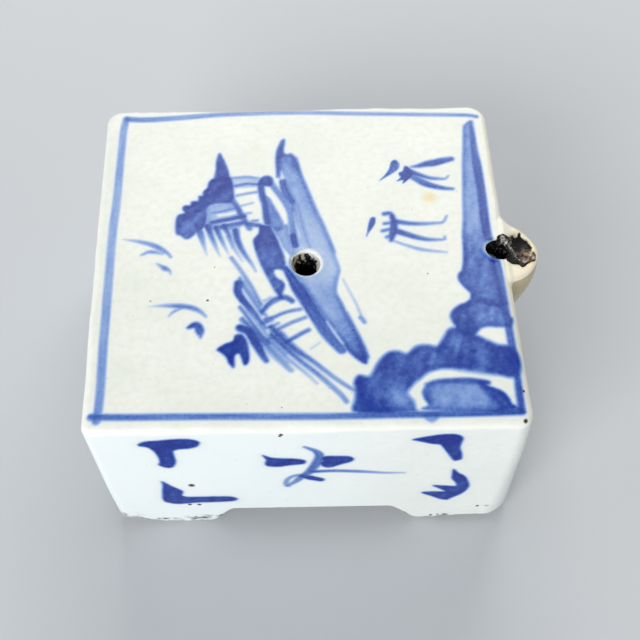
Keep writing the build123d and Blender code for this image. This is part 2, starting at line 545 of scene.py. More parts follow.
def paint_side(sheet, seed, sprig=True):
    """A side's ornament: a bracket in each corner and a sprig with two leaves in the middle. The
    hand slips a little between the sides. Seed 0 is the front, where nothing slips."""
    hand = np.random.default_rng(seed)
    slip = 0.35 if seed else 0.0

    def moved(points):
        points = np.array(points, float)
        return points + hand.normal(0, 1, 2) * slip + hand.normal(0, 0.3, 2) * slip

    deep = lambda u, v: 0.97 - 0.04 * smooth((28.1 - v) / 6)
    wash(sheet, deep, moved([
        (-23.9, 28.8), (-23, 29.9), (-21, 30.2), (-19, 30.5), (-17, 30.55), (-15.6, 30),
        (-15.3, 29.2), (-15.8, 28.2), (-17, 27.6), (-18.5, 27.4), (-19.3, 26.8), (-19.4, 25.6),
        (-19.4, 23.4), (-20, 21.7), (-20.8, 21.3), (-21.9, 22.2), (-21.6, 23.6), (-21.8, 26.1),
        (-22.6, 28.1),
    ]), edge=0.05)
    mid = lambda u, v: 0.86 + 0.10 * smooth((u + 17) / 4) - 0.12 * smooth((v - 12.6) / 3)
    wash(sheet, mid, moved([
        (-22.3, 16.5), (-21, 14.6), (-19.7, 12.8), (-20, 11.2), (-19, 10.5), (-16.5, 10.5),
        (-14.5, 10.5), (-12.4, 10.3), (-11.6, 9.5), (-12.2, 8.7), (-14.5, 8.4), (-18, 8.2),
        (-21, 7.8), (-22.7, 8.5), (-23.1, 9.6), (-22.9, 11.6), (-22.4, 14.9),
    ]), edge=0.08)
    wash(sheet, deep, moved([
        (14.8, 29.3), (17, 30.2), (19, 30.7), (20.8, 30.6), (21.7, 29.6), (21.6, 28.1),
        (21.5, 26.6), (21.9, 24.6), (22, 22.8), (21.4, 22.2), (20.9, 22.4), (20, 24.6),
        (19.2, 26.6), (18.6, 27.6), (17.5, 27.9), (15.5, 28.8),
    ]), edge=0.05)
    wash(sheet, 0.88, moved([
        (21.2, 19.1), (22, 17.8), (23, 16.6), (23.6, 15.1), (24, 13.1), (23.8, 11.6), (23.3, 10.4),
        (22.7, 9.5), (21.6, 8.3), (20.9, 7.6), (19.8, 8), (18.6, 9.1), (17.3, 10.1), (17.1, 10.7),
        (18.4, 10.9), (20.5, 10.9), (19.6, 12), (18.6, 13.2), (20.2, 13.1), (21.9, 12.9),
        (22, 14), (21.3, 15.6), (21.2, 17),
    ]), edge=0.06)
    if not sprig:
        return
    wash(sheet, 0.95, moved([
        (-6.6, 24.9), (-5.5, 24.1), (-4, 23.8), (-2, 23.6), (-0.8, 23.1), (-0.6, 22.4), (-1, 21.8),
        (-3, 21.4), (-4.5, 21), (-6, 21.2), (-6.4, 22.1), (-6.2, 23.4),
    ]), edge=0.04)
    wash(sheet, 0.93, moved([
        (2.5, 24.3), (4, 24.3), (5.8, 24.1), (6.4, 23.1), (5.8, 22.2), (4.5, 21.4), (3, 20.4),
        (2, 20.8), (1.6, 21.9), (2, 22.8), (1.8, 23.6),
    ]), edge=0.04)
    stroke(sheet, [0.5, 1.2, 1.4, 1.3, 1.1, 0.6], [0.5, 0.6, 0.66, 0.6, 0.52, 0.4], moved([
        (-0.5, 27.5), (1, 26.1), (1.5, 24.6), (1.2, 22.6), (0.6, 20.6), (-0.2, 18.6), (-1.2, 17.1),
        (-2.2, 15.4), (-3.6, 13.8),
    ]))
    stroke(sheet, 0.7, 0.42, moved([
        (-0.8, 17.9), (-2.3, 17.5), (-3.3, 16.4), (-3.7, 14.8), (-3.4, 13.8),
    ]))
    stroke(sheet, [0.7, 1.4, 1.2], [0.85, 0.9, 0.8], moved([(-1.3, 17.4), (0, 16.7), (1.5, 15.9)]))
    stroke(sheet, [0.9, 0.9, 0.5], [0.62, 0.5, 0.25], moved([
        (0.4, 18.9), (4, 19.1), (8, 18.7), (11, 18.2), (14, 18.1),
    ]))


def paint_sides(points, slope):
    """The cobalt on the sides, as one amount for each point of a piece. The spout takes up the
    middle of its side, so there is no sprig there."""
    x, y, z = points.T
    cobalt = np.zeros(len(points))
    for side, u, seed in (("front", x, 0), ("right", y, 31), ("back", -x, 32), ("left", -y, 33)):
        sheet = clean_sheet(u, z)
        paint_side(sheet, seed, sprig=side != "right")
        facing = slope[:, :2] @ np.array(side_out[side], float)
        cobalt = np.maximum(cobalt, sheet["laid"] * smooth((facing - 0.3) / 0.3))
    return cobalt


def keep_coats(piece, **coats):
    """Stores what lies on the clay, from 0 to 1 at each point, for the material to read."""
    for name, amount in coats.items():
        attribute = piece.data.attributes.new(name, "FLOAT", "POINT")
        attribute.data.foreach_set("value", np.clip(amount, 0, 1).astype(np.float32))


def foot_coats(points, slope):
    """Bare clay and dirt: the feet stand unglazed, and so is all that faces inwards."""
    x, y, z = points.T
    inner = np.maximum(np.abs(x) - half_chamber_width, np.abs(y) - half_chamber_depth) < 0.05
    wipe = 0.16 + 0.14 * cloud(x + y, x - y, 2.3, 41) + 0.16 * cloud(x + y, x - y, 0.8, 43)
    wipe = wipe + 0.35 * smooth((-x - 8) / 6) * smooth((-y - 20) / 6)
    sole = smooth((wipe + soles(x, y, z)) / 0.25 + 0.5)
    sole *= smooth((0.25 - slope[:, 2]) / 0.5) * smooth((3.5 - z) / 0.8)
    chipped = smooth(chips(x, y, z) / 0.12 + 1)
    bare = np.maximum(np.maximum(sole, inner), 0.8 * chipped)
    patchy = smooth(0.5 + 0.8 * cloud(x + y, z, 0.9, 44) + 0.5 * cloud(x + y, z, 0.35, 45))
    line = np.exp(-(((wipe + soles(x, y, z) + 0.1) / 0.22) ** 2)) * smooth((3.9 - z) / 1.2)
    grime = (0.08 * bare + 0.95 * line) * patchy * ~inner
    for middle, reach, amount in foot_smudges:
        gap = np.hypot((x - middle[0]) / reach[0], (z - middle[1]) / reach[1])
        smudge = amount * smooth(1.2 - gap) * patchy * (y < -half_depth + 1.5)
        grime = np.maximum(grime, smudge)
    return bare, grime


def glaze_coats(points, slope):
    """A cool, light tint on the upright sides, stronger to the left: painted light, partly glaze
    that
    pooled there. And white over the arris: a painted highlight, where the glaze also ran thin.
    """
    x, y, z = points.T
    tilt = np.clip(slope[:, 2], 0, 1)
    # Painted light: a cool, lighter tint on the upright sides, stronger to the left
    cool = smooth((0.6 - tilt) / 0.5) * (0.40 + 0.52 * smooth((22 - x) / 30))
    # Painted highlight along the arris, where the glaze also ran thin and white
    thin = 3.4 * tilt * (1 - tilt) * smooth((z - 24) / 6)
    return cool, thin


# One function adds a node: a setting goes to the input or the property of that name, and an
# output given as a setting is linked to it.
def add(material, kind, settings, output=0):
    """Adds a node to a material and returns one of its outputs."""
    node = material.node_tree.nodes.new(kind)
    sockets = {s.name: s for s in reversed(node.inputs)}
    sockets.update({s.identifier: s for s in node.inputs})
    for key, value in settings.items():
        if key == "stops":
            while len(node.color_ramp.elements) < len(value):
                node.color_ramp.elements.new(0.5)
            for element, (position, colour) in zip(node.color_ramp.elements, value):
                element.position, element.color = position, srgb(colour)
        elif isinstance(value, bpy.types.NodeSocket):
            material.node_tree.links.new(value, sockets[key])
        elif key in sockets:
            sockets[key].default_value = value
        else:
            setattr(node, key, value)
    if not node.outputs:
        return node
    named = {s.identifier: s for s in node.outputs}
    return named.get(output) or node.outputs[output]


def srgb(code):
    """A hex colour as linear light."""
    parts = [int(code[k:k + 2], 16) / 255 for k in (1, 3, 5)]
    parts = [c / 12.92 if c <= 0.04045 else ((c + 0.055) / 1.055) ** 2.4 for c in parts]
    return (*parts, 1.0)


def empty_material(name):
    """A material without nodes."""
    material = bpy.data.materials.new(name)
    material.use_nodes = True
    material.node_tree.nodes.clear()
    return material


# Porcelain glaze over cobalt: a glassy coat, faintly green and blue where it lies thick, warm
# where it ran thin at an edge. The eye sees soft gloss, pinholes, iron specks and, under it, blue
# that is nearly black where the brush was full and sky-pale where it was wet. Some colours are
# painted light: the cool tint of the upright sides is partly painted light, the white of the arris
# is partly a painted highlight, the khaki on the spout's side is painted shade, and the holes get
# darker with painted shade.
porcelain = empty_material("dipped_porcelain_glaze_over_cobalt")
place = add(porcelain, "ShaderNodeTexCoord", {}, "Object")
coats = {}
for coat in ("cobalt", "cool", "thin", "cream", "khaki", "stain", "grime", "bare"):
    coats[coat] = add(porcelain, "ShaderNodeAttribute", {"attribute_name": coat}, "Fac")
# Noise of three sizes: clouds in the glaze, its mottle, and the clay's grain, which is finer on the
# real one and is drawn as coarse as it has to be to show
patches, mottle, fine = [
    add(porcelain, "ShaderNodeTexNoise", {
        "Vector": place,
        "Scale": 1 / (size * MM),
        "Detail": 3.0,
    }, "Fac")
    for size in (9.0, 1.1, 0.45)
]
glaze = add(porcelain, "ShaderNodeValToRGB", {
    "Fac": patches,
    "stops": [(0.35, "#e3e7de"), (0.65, "#ebede5")],
}, "Color")
mottled = add(porcelain, "ShaderNodeMapRange", {
    "Value": mottle,
    "From Min": 0.42,
    "From Max": 0.70,
    "To Max": 0.45,
}, "Result")
# Cool tint: partly painted light. Arris white: partly a painted highlight. Khaki: painted shade.
for share, colour in (
    (mottled, "#d9dcd2"),
    (coats["cool"], "#eef5f5"),
    (coats["thin"], "#f6f6f0"),
    (coats["cream"], "#ecdfbf"),
    (coats["khaki"], "#c0ad7c"),
):
    glaze = add(porcelain, "ShaderNodeMix", {
        "data_type": "RGBA",
        "Factor_Float": share,
        "A_Color": glaze,
        "B_Color": srgb(colour),
    }, "Result_Color")

granular = add(porcelain, "ShaderNodeMapRange", {
    "Value": fine,
    "From Min": 0.25,
    "From Max": 0.75,
    "To Min": 0.88,
    "To Max": 1.08,
}, "Result")
blue_amount = add(porcelain, "ShaderNodeMath", {
    "operation": "MULTIPLY",
    "Value": coats["cobalt"],
    "Value_001": granular,
})
blue = add(porcelain, "ShaderNodeValToRGB", {"Fac": blue_amount, "stops": [
    (0.00, "#e4e8e2"),
    (0.14, "#c3d0e1"),
    (0.27, "#9db3d8"),
    (0.42, "#7795cd"),
    (0.55, "#5274bb"),
    (0.68, "#3655a6"),
    (0.80, "#213f95"),
    (0.90, "#073294"),
    (1.00, "#001e82"),
]}, "Color")
painted_share = add(porcelain, "ShaderNodeMapRange", {
    "Value": coats["cobalt"],
    "From Max": 0.14,
}, "Result")

# Specks of iron that burnt through the glaze: the place of each, and its radius
iron_specks = (
    (-2.86, -30.05, 31.5, 0.34),
    (-3.05, -30.05, 31.1, 0.26),
    (-17.1, -30.05, 14.9, 0.55),
    (-18.2, -30.05, 7.4, 0.36),
    (-16.7, -30.05, 7.35, 0.36),
    (27.4, -30.05, 4.9, 0.30),
    (20.2, -30.1, 1.4, 0.34),
    (21.3, -30.1, 1.7, 0.26),
    (31.0, -29.2, 32.8, 0.36),
    (31.2, -24.6, 33.0, 0.22),
    (-13.8, -8.5, 33.0, 0.22),
    (-13.0, -2.5, 33.0, 0.14),
    (-22.3, -8.4, 33.0, 0.12),
    (7.65, -14.05, 33.0, 0.14),
    (19.1, -4.3, 33.0, 0.13),
    (-2.7, -26.6, 33.0, 0.13),
)
speck_share = 0.0
for x, y, z, radius in iron_specks:
    distance = add(porcelain, "ShaderNodeVectorMath", {
        "operation": "DISTANCE",
        "Vector": place,
        "Vector_001": ((body_middle + x) * MM, y * MM, z * MM),
    }, "Value")
    speck = add(porcelain, "ShaderNodeMapRange", {
        "Value": distance,
        "From Min": 1.25 * radius * MM,
        "From Max": 0.55 * radius * MM,
    }, "Result")
    speck_share = add(porcelain, "ShaderNodeMath", {
        "operation": "MAXIMUM",
        "Value": speck_share,
        "Value_001": speck,
    })
# Pinholes about 0.2 mm wide, one in each cell of 2.4 mm
pinholes = add(porcelain, "ShaderNodeTexVoronoi", {
    "Vector": place,
    "Scale": 1 / (2.4 * MM),
}, "Distance")
pinhole_share = add(porcelain, "ShaderNodeMapRange", {
    "Value": pinholes,
    "From Min": 0.055,
    "From Max": 0.025,
    "To Max": 0.45,
}, "Result")
mottling = add(porcelain, "ShaderNodeMapRange", {
    "Value": fine,
    "From Min": 0.35,
    "From Max": 0.65,
    "To Min": 0.88,
    "To Max": 1.4,
}, "Result")
# Dirt on the feet and front, and painted shade down the air hole and the bore: near black
grime_and_shade_share = add(porcelain, "ShaderNodeMath", {
    "operation": "MULTIPLY",
    "use_clamp": True,
    "Value": coats["grime"],
    "Value_001": mottling,
})
clay = add(porcelain, "ShaderNodeValToRGB", {
    "Fac": mottle,
    "stops": [(0.42, "#f3f2ee"), (0.68, "#cdc3b7")],
}, "Color")
for share, colour in (
    (painted_share, blue),
    (coats["stain"], srgb("#dcc04a")),
    (pinhole_share, srgb("#8c8068")),
    (speck_share, srgb("#3a2a22")),
    (coats["bare"], clay),
    (grime_and_shade_share, srgb("#121216")),
):
    glaze = add(porcelain, "ShaderNodeMix", {
        "data_type": "RGBA",
        "Factor_Float": share,
        "A_Color": glaze,
        "B_Color": colour,
    }, "Result_Color")

# The height of the surface, in steps of 0.03 mm: orange peel, sunk pinholes and sandy clay
sandy = add(porcelain, "ShaderNodeMath", {
    "operation": "MULTIPLY",
    "Value": fine,
    "Value_001": coats["bare"],
})
sunk = add(porcelain, "ShaderNodeMath", {
    "operation": "MULTIPLY_ADD",
    "Value": pinhole_share,
    "Value_001": -2.0,
    "Value_002": sandy,
})
relief = add(porcelain, "ShaderNodeMath", {
    "operation": "MULTIPLY_ADD",
    "Value": mottle,
    "Value_001": 0.6,
    "Value_002": sunk,
})
bump = add(porcelain, "ShaderNodeBump", {
    "Height": relief,
    "Strength": 0.5,
    "Distance": 0.03 * MM,
}, "Normal")
dullness = add(porcelain, "ShaderNodeMapRange", {
    "Value": patches,
    "From Min": 0.3,
    "From Max": 0.7,
    "To Min": 0.17,
    "To Max": 0.25,
}, "Result")
dullness = add(porcelain, "ShaderNodeMath", {
    "operation": "MULTIPLY_ADD",
    "Value": coats["bare"],
    "Value_001": 0.5,
    "Value_002": dullness,
})
shine = add(porcelain, "ShaderNodeBsdfPrincipled", {
    "Base Color": glaze,
    "Roughness": dullness,
    "IOR": 1.5,
    "Specular IOR Level": 0.2,
    "Normal": bump,
}, "BSDF")
add(porcelain, "ShaderNodeOutputMaterial", {"Surface": shine})


def wall_piece(side, skin, notch=()):
    """Fires, paints and glazes one wall."""
    low = [-half_width - clear, -half_depth - clear, -clear]
    high = [half_width + clear, half_depth + clear, seam]
    for axis, half_chamber in enumerate((half_chamber_width, half_chamber_depth)):
        if side_out[side][axis] > 0:
            low[axis] = half_chamber
        if side_out[side][axis] < 0:
            high[axis] = -half_chamber
    mitres = wall_mitres(side)
    wall, points, slope = fire_piece(
        side + "_wall_fired", skin, low, high, wall_grid, mitres, notch
    )
    cobalt = paint_sides(points, slope)
    bare, grime = foot_coats(points, slope)
    cool, thin = glaze_coats(points, slope)
    keep_coats(wall, cobalt=cobalt, cool=cool, thin=thin, grime=grime, bare=bare)
    wall.data.materials.append(porcelain)
    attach(wall, "root")
    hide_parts(side + "_wall")


for side in ("front", "back", "left"):
    wall_piece(side, walls_skin)


# Right wall: the same slab, let in at its upper edge for the spout, whose slanting bore was pushed
# through wall and lid with a round stick while the clay was still soft.
# The middle of the bore's mouth, and how far its lean stretches it as seen from above
mouth = (30.45, 0.15, 32.75)
mouth_stretch = 1.15
bore_radius = 1.8
bore_lean = math.radians(33.0)
bore_end_radius = 0.3
spout_recess = 1.0
spout_half_reach = 7.7
spout_foot = 17.0
spout_notch = (
    ((1, 0, 0), half_width - spout_recess),
    ((0, 1, 0), -spout_half_reach),
    ((0, -1, 0), -spout_half_reach),
    ((0, 0, 1), spout_foot),
)


def bore(x, y, z):
    """How far inside the slanting bore a point lies."""
    x, y, z = x - mouth[0], y - mouth[1], z - mouth[2]
    across = x * math.cos(bore_lean) - z * math.sin(bore_lean)
    return bore_radius - np.hypot(across, y)


def right_wall_skin(x, y, z):
    """The walls, pierced by the bore."""
    return eased(walls_skin(x, y, z), bore(x, y, z), bore_end_radius)


wall_piece("right", right_wall_skin, spout_notch)


# Base slab: the chamber's floor, let in between the walls and smeared to them from below, where a
# finger left a hollow all round. It is bare clay that sagged a little and flashed warm in the kiln.
base_low, base_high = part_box("base_slab")
base_underside = base_low.z / MM
base_grid = 0.4
base_play = 0.02
smear_radius = 0.85


def base_skin(x, y, z):
    """The slab's uneven underside and the smear of slip along the walls."""
    to_wall = np.minimum(half_chamber_width - np.abs(x), half_chamber_depth - np.abs(y))
    under = base_underside - z + 0.22 * cloud(x, y, 11, 51) + 0.06 * cloud(x, y, 2.2, 52)
    return luted(under, to_wall, smear_radius + 0.2 * cloud(x + y, x - y, 4, 53))


biscuit = empty_material("unglazed_porcelain_biscuit")
place = add(biscuit, "ShaderNodeTexCoord", {}, "Object")
# Noise of three sizes: the blush of the kiln's flame, dark specks, and sandy grain
flashed, specks, gritty = [
    add(biscuit, "ShaderNodeTexNoise", {
        "Vector": place,
        "Scale": 1 / (size * MM),
        "Detail": 3.0,
    }, "Fac")
    for size in (14.0, 0.8, 0.35)
]
biscuit_colour = add(biscuit, "ShaderNodeValToRGB", {
    "Fac": flashed,
    "stops": [(0.42, "#d9d3c6"), (0.66, "#cfae8c")],
}, "Color")
dark_share = add(biscuit, "ShaderNodeMapRange", {
    "Value": specks,
    "From Min": 0.66,
    "From Max": 0.72,
    "To Max": 0.5,
}, "Result")
biscuit_colour = add(biscuit, "ShaderNodeMix", {
    "data_type": "RGBA",
    "Factor_Float": dark_share,
    "A_Color": biscuit_colour,
    "B_Color": srgb("#7d6450"),
}, "Result_Color")
# A wet finger left streaks that run across the base, eight times as long as wide
stretched = add(biscuit, "ShaderNodeMapping", {
    "Vector": place,
    "Scale": (0.12, 1.0, 1.0),
}, "Vector")
wiped = add(biscuit, "ShaderNodeTexNoise", {
    "Vector": stretched,
    "Scale": 1 / (0.9 * MM),
    "Detail": 2.0,
}, "Fac")
biscuit_relief = add(biscuit, "ShaderNodeMath", {
    "operation": "MULTIPLY_ADD",
    "Value": wiped,
    "Value_001": 1.2,
    "Value_002": gritty,
})
biscuit_bump = add(biscuit, "ShaderNodeBump", {
    "Height": biscuit_relief,
    "Strength": 0.6,
    "Distance": 0.08 * MM,
}, "Normal")
biscuit_shine = add(biscuit, "ShaderNodeBsdfPrincipled", {
    "Base Color": biscuit_colour,
    "Roughness": 0.75,
    "IOR": 1.5,
    "Normal": biscuit_bump,
}, "BSDF")
add(biscuit, "ShaderNodeOutputMaterial", {"Surface": biscuit_shine})

base, *_ = fire_piece(
    "base_slab_fired",
    base_skin,
    low=(
        base_play - half_chamber_width,
        base_play - half_chamber_depth,
        base_underside - smear_radius,
    ),
    high=(half_chamber_width - base_play, half_chamber_depth - base_play, base_high.z / MM),
    grid=base_grid,
)
base.data.materials.append(biscuit)
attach(base, "root")
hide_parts("base_slab")


# Coils: thin rolls of the same clay, pressed into the chamber's seams and smoothed with a finger
# before the lid went on. They keep the shape they have in the frame, as bare clay.
for name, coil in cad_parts.items():
    if "coil" in name:
        coil.data.materials.clear()
        coil.data.materials.append(biscuit)


# Top slab: the lid, luted on before painting, with a round air hole whose rim the glaze thickened.
# It carries the landscape, which runs up to its worn edges.
air_hole = (0.78, -1.98)
air_hole_radius = 2.15
air_hole_rim_radius = 0.4
air_hole_taper = 0.5
air_hole_swell = 0.10
bore_rim_radius = 0.4
bore_swell = 0.16
# Yellow stains: the middle of each, its reach, how softly it ends, and how strong it is
lid_stains = (
    ((20.7, 10.3), 1.7, 1.5, 0.50),
    ((-6.7, 21.1), 1.2, 1.0, 0.14),
)
top_grid = 0.23


def rings(x, y):
    """How far a point is outside the air hole and outside the bore's mouth, seen from above."""
    air_ring = np.hypot(x - air_hole[0], y - air_hole[1]) - air_hole_radius
    mouth_ring = np.hypot((x - mouth[0]) / mouth_stretch, y - mouth[1]) - bore_radius
    return air_ring, mouth_ring


def rim_swell(x, y):
    """How much thicker the glaze stands round the air hole and the mouth of the bore."""
    air_ring, mouth_ring = rings(x, y)
    swell = air_hole_swell * np.exp(-(((air_ring - 0.45) / 0.35) ** 2))
    mouth_swell = bore_swell * np.exp(-(((mouth_ring - 0.5) / 0.35) ** 2))
    return swell + mouth_swell * smooth((mouth[0] - x) / 2)


def top_skin(x, y, z):
    """The lid, swollen at its rims and pierced by air hole and bore. Glaze and dirt have pooled in
    the air hole and narrow it downwards."""
    out, aside = x - air_hole[0], y - air_hole[1]
    pooled = air_hole_taper * smooth((height - 0.3 - z) / 1.6)
    pooled = pooled * (1 + 0.35 * cloud(out, aside, 0.9, 67))
    hole = air_hole_radius - pooled - np.hypot(out, aside)
    skin = eased(fired_block(x, y, z - rim_swell(x, y)), hole, air_hole_rim_radius)
    return eased(skin, bore(x, y, z), bore_rim_radius)


def paint_frame_lines(sheet):
    """The line that frames the lid, in long pulls of a wet brush, and a drop below it."""
    stroke(sheet, [1.1, 1.3, 1.3, 1.2], [0.42, 0.34, 0.38, 0.44], [
        (-28.2, 28), (-28.5, 25), (-28.6, 18), (-28.7, 10), (-28.9, 5), (-28.95, -5), (-29, -15),
        (-29, -25), (-29.2, -28.2),
    ], soft=0.6)
    stroke(sheet, [1.1, 1.0, 0.9, 0.8, 0.7], [0.48, 0.44, 0.36, 0.4, 0.45], [
        (-28, 27.9), (-25, 27.7), (-20, 28.0), (-15, 28.5), (-10, 28.8), (0, 28.9), (10, 28.4),
        (20, 28.0), (28, 27.7), (30, 27.3),
    ], soft=0.6)
    stroke(sheet, [1.0, 1.0, 0.95, 1.1], [0.56, 0.5, 0.52, 0.56, 0.68], [
        (-30.0, -27.6), (-25, -27.7), (-15, -27.8), (0, -28), (10, -28.1), (20, -28), (29.8, -27.8),
    ], soft=0.6)
    stroke(sheet, 0.9, 0.4, [(16.7, -28.5), (17.2, -28.8), (17.8, -28.5)])


def paint_birds(sheet):
    """Wild geese over the water, a few curved touches each."""
    strokes(sheet, (
        ([0.2, 0.6, 0.8, 0.3], [0.2, 0.42, 0.5, 0.44], [
            (-27.2, 3), (-25, 2.6), (-23, 2), (-21.5, 1.2), (-20.3, 0.3), (-19.7, -0.5),
        ]),
        ([0.3, 0.6, 0.5], [0.4, 0.44, 0.3], [(-24.2, 0), (-23.2, 0.5), (-22.3, 0.5), (-21, 0.2)]),
        ([0.2, 0.8, 0.2], [0.4, 0.52, 0.3], [
            (-21.8, -1.7), (-20.7, -2.5), (-19.9, -3), (-19.6, -3.7),
        ]),
        ([0.2, 0.6, 0.8, 0.8, 0.3], [0.14, 0.3, 0.5, 0.5, 0.4], [
            (-23, -9.4), (-20, -9.3), (-17, -9.6), (-15.3, -10.3), (-14.2, -11.4),
        ]),
        ([0.3, 0.4, 0.4], [0.24, 0.4, 0.3], [(-19.7, -11.2), (-19, -10.4), (-18, -9.9)]),
        ([0.5, 1.1, 1.3, 0.3], [0.7, 0.7, 0.6, 0.4], [
            (-16.7, -13.2), (-15.8, -12.8), (-15.2, -13.3), (-14.9, -15),
        ]),
    ))


def paint_reeds(sheet):
    """The clump of reeds and pine on the left, its hatched shade, and the shore lines below."""
    wash(sheet, lambda u, v: 0.64 + 0.22 * smooth(((v - u) * 0.707 - 16) / 1.6), [
        (-13.6, 14.8), (-14.2, 14), (-14.4, 13), (-15, 12.2), (-15.1, 11.4), (-15.7, 11.3),
        (-15.8, 10.4), (-16.8, 10.2), (-17, 9.5), (-17.9, 9.4), (-18.2, 8.8), (-17.9, 8),
        (-18.8, 7.6), (-19.1, 7), (-19.2, 5.4), (-19.0, 3.9), (-18.3, 3.5), (-17.6, 2.9), (-17, 3),
        (-16.3, 3.6), (-15.8, 4.3), (-14.7, 5.2), (-14.4, 7), (-14.2, 9.1), (-13, 9.7),
        (-11.4, 9.8), (-10.3, 10.1), (-10.2, 12), (-10.7, 14.9), (-12, 15.2),
    ], pull=(0.7, 0.7))
    wash(sheet, 0.74, [
        (-12.6, 20.2), (-13, 19), (-13.1, 17.7), (-13.1, 16.6), (-13.2, 14.8), (-11.1, 14.8),
        (-11.1, 16.3), (-11.4, 17.5), (-12, 19.1),
    ])
    wash(sheet, 0.30, [
        (-14.3, 9.4), (-12.8, 9.7), (-10.2, 10), (-8.8, 6.4), (-9.4, 4.8), (-12, 4.5), (-14.2, 5),
    ])
    wash(sheet, 0.16, [(-10.6, 15), (-6.4, 14.8), (-6.2, 13.2), (-9.6, 12.8), (-10.6, 12.6)])
    leave_white(sheet, 0.6, [(-12.5, 7.4), (-11.2, 7.6), (-10, 7.9)])
    leave_white(sheet, 0.35, [(-12, 5.9), (-10.8, 6.1), (-9.5, 6.4)])
    strokes(sheet, (
        (0.45, 0.42, [(-11, 14.9), (-9.5, 15), (-8, 15.1), (-6.4, 14.8)]),
        (0.6, 0.5, [(-11, 13.2), (-9.6, 13.4), (-8, 13.7), (-6.3, 13.5)]),
        (0.45, 0.42, [(-10.2, 11.2), (-9, 11.5), (-7.6, 11.8), (-6.5, 12)]),
        (0.35, 0.3, [(-9.2, 9.2), (-8.2, 9.5), (-7.2, 9.8)]),
        (0.35, 0.35, [(-8.4, 7.7), (-7.5, 7.8)]),
        (0.4, 0.5, [(-7.3, 6.2), (-6.5, 6.3)]),
        (0.4, 0.5, [(-13.6, 7.9), (-12.4, 8.1), (-11, 8.5), (-9.9, 8.8)]),
        (0.8, 0.66, [(-13.6, 6), (-12, 6.4), (-10.6, 6.7), (-9.4, 7), (-8.6, 7.2)]),
        (0.8, 0.6, [(-12, 5.2), (-10, 5.6), (-8.5, 5.9)]),
        (0.9, 0.58, [(-10.4, 10.4), (-9.6, 8.9), (-9, 7.4), (-8.3, 6), (-7.7, 4.8)]),
        ([1.0, 1.0, 0.6, 0.2], [0.75, 0.55, 0.35, 0.2], [
            (-15.9, 5.5), (-15.2, 3.5), (-14.7, 1.5), (-14.2, -0.3),
        ]),
        ([1.0, 0.8, 0.6, 0.2], [0.75, 0.55, 0.35, 0.2], [
            (-14.2, 5.3), (-13.5, 3), (-12.8, 1), (-12.2, -0.6),
        ]),
        ([0.9, 0.6, 0.2], [0.7, 0.5, 0.2], [(-12.9, 5), (-12, 2.5), (-10.9, -0.2)]),
        ([0.9, 0.6, 0.3], [0.7, 0.5, 0.3], [(-11.7, 5.3), (-10.7, 3), (-10.3, 1)]),
        ([1.1, 0.9, 0.6, 0.3], [0.68, 0.6, 0.5, 0.3], [
            (-9.9, 4.3), (-9.5, 2.2), (-8.5, -0.1), (-7.4, -2), (-6.8, -3.4),
        ]),
        ([0.7, 0.5, 0.3], [0.4, 0.3, 0.2], [(-11, 3.3), (-10, 0.8), (-8.8, -1.5)]),
        (0.6, 0.42, [
            (-10.5, -0.8), (-9.4, -2.6), (-8.4, -4.4), (-7.4, -6.3), (-6.6, -8.2), (-6.1, -9.3),
        ]),
        ([1.3, 1.1, 0.8, 0.5], [0.78, 0.74, 0.6, 0.45], [
            (-9.4, -5.6), (-9.5, -7), (-8.9, -8.3), (-8, -9.6), (-7, -11), (-6.2, -12.3),
            (-5.6, -13.2),
        ]),
        (0.5, 0.45, [(-9.2, -4.6), (-8.6, -6.2), (-7.6, -8), (-6.5, -10), (-5.9, -11)]),
        (0.55, 0.5, [(-9.2, -9.8), (-8.4, -11), (-7.3, -12.8), (-6.1, -14.7), (-5, -16)]),
        (0.7, [0.6, 0.5, 0.3], [
            (-8.9, -11.9), (-7.8, -13.2), (-6.7, -14.6), (-5.5, -16.2), (-4.3, -17.8), (-3, -19.3),
            (-1.9, -20.6),
        ]),
        ([1.2, 1.5, 0.8], [0.75, 0.75, 0.6], [
            (-9.2, -13.4), (-8, -14), (-7.2, -15.3), (-6.6, -16.6), (-6, -18), (-5.5, -18.9),
        ]),
    ))
    wash(sheet, 0.86, [
        (-12.5, -17), (-11.5, -16.2), (-10.2, -15.6), (-9.9, -14.7), (-9, -14.5), (-8.3, -15.5),
        (-8, -17), (-8, -19), (-8.6, -19.6), (-9, -18.5), (-9.3, -17.8), (-10.0, -18.1),
        (-10.1, -20), (-10.8, -19.3), (-11.2, -18.3), (-12, -17.5),
    ])


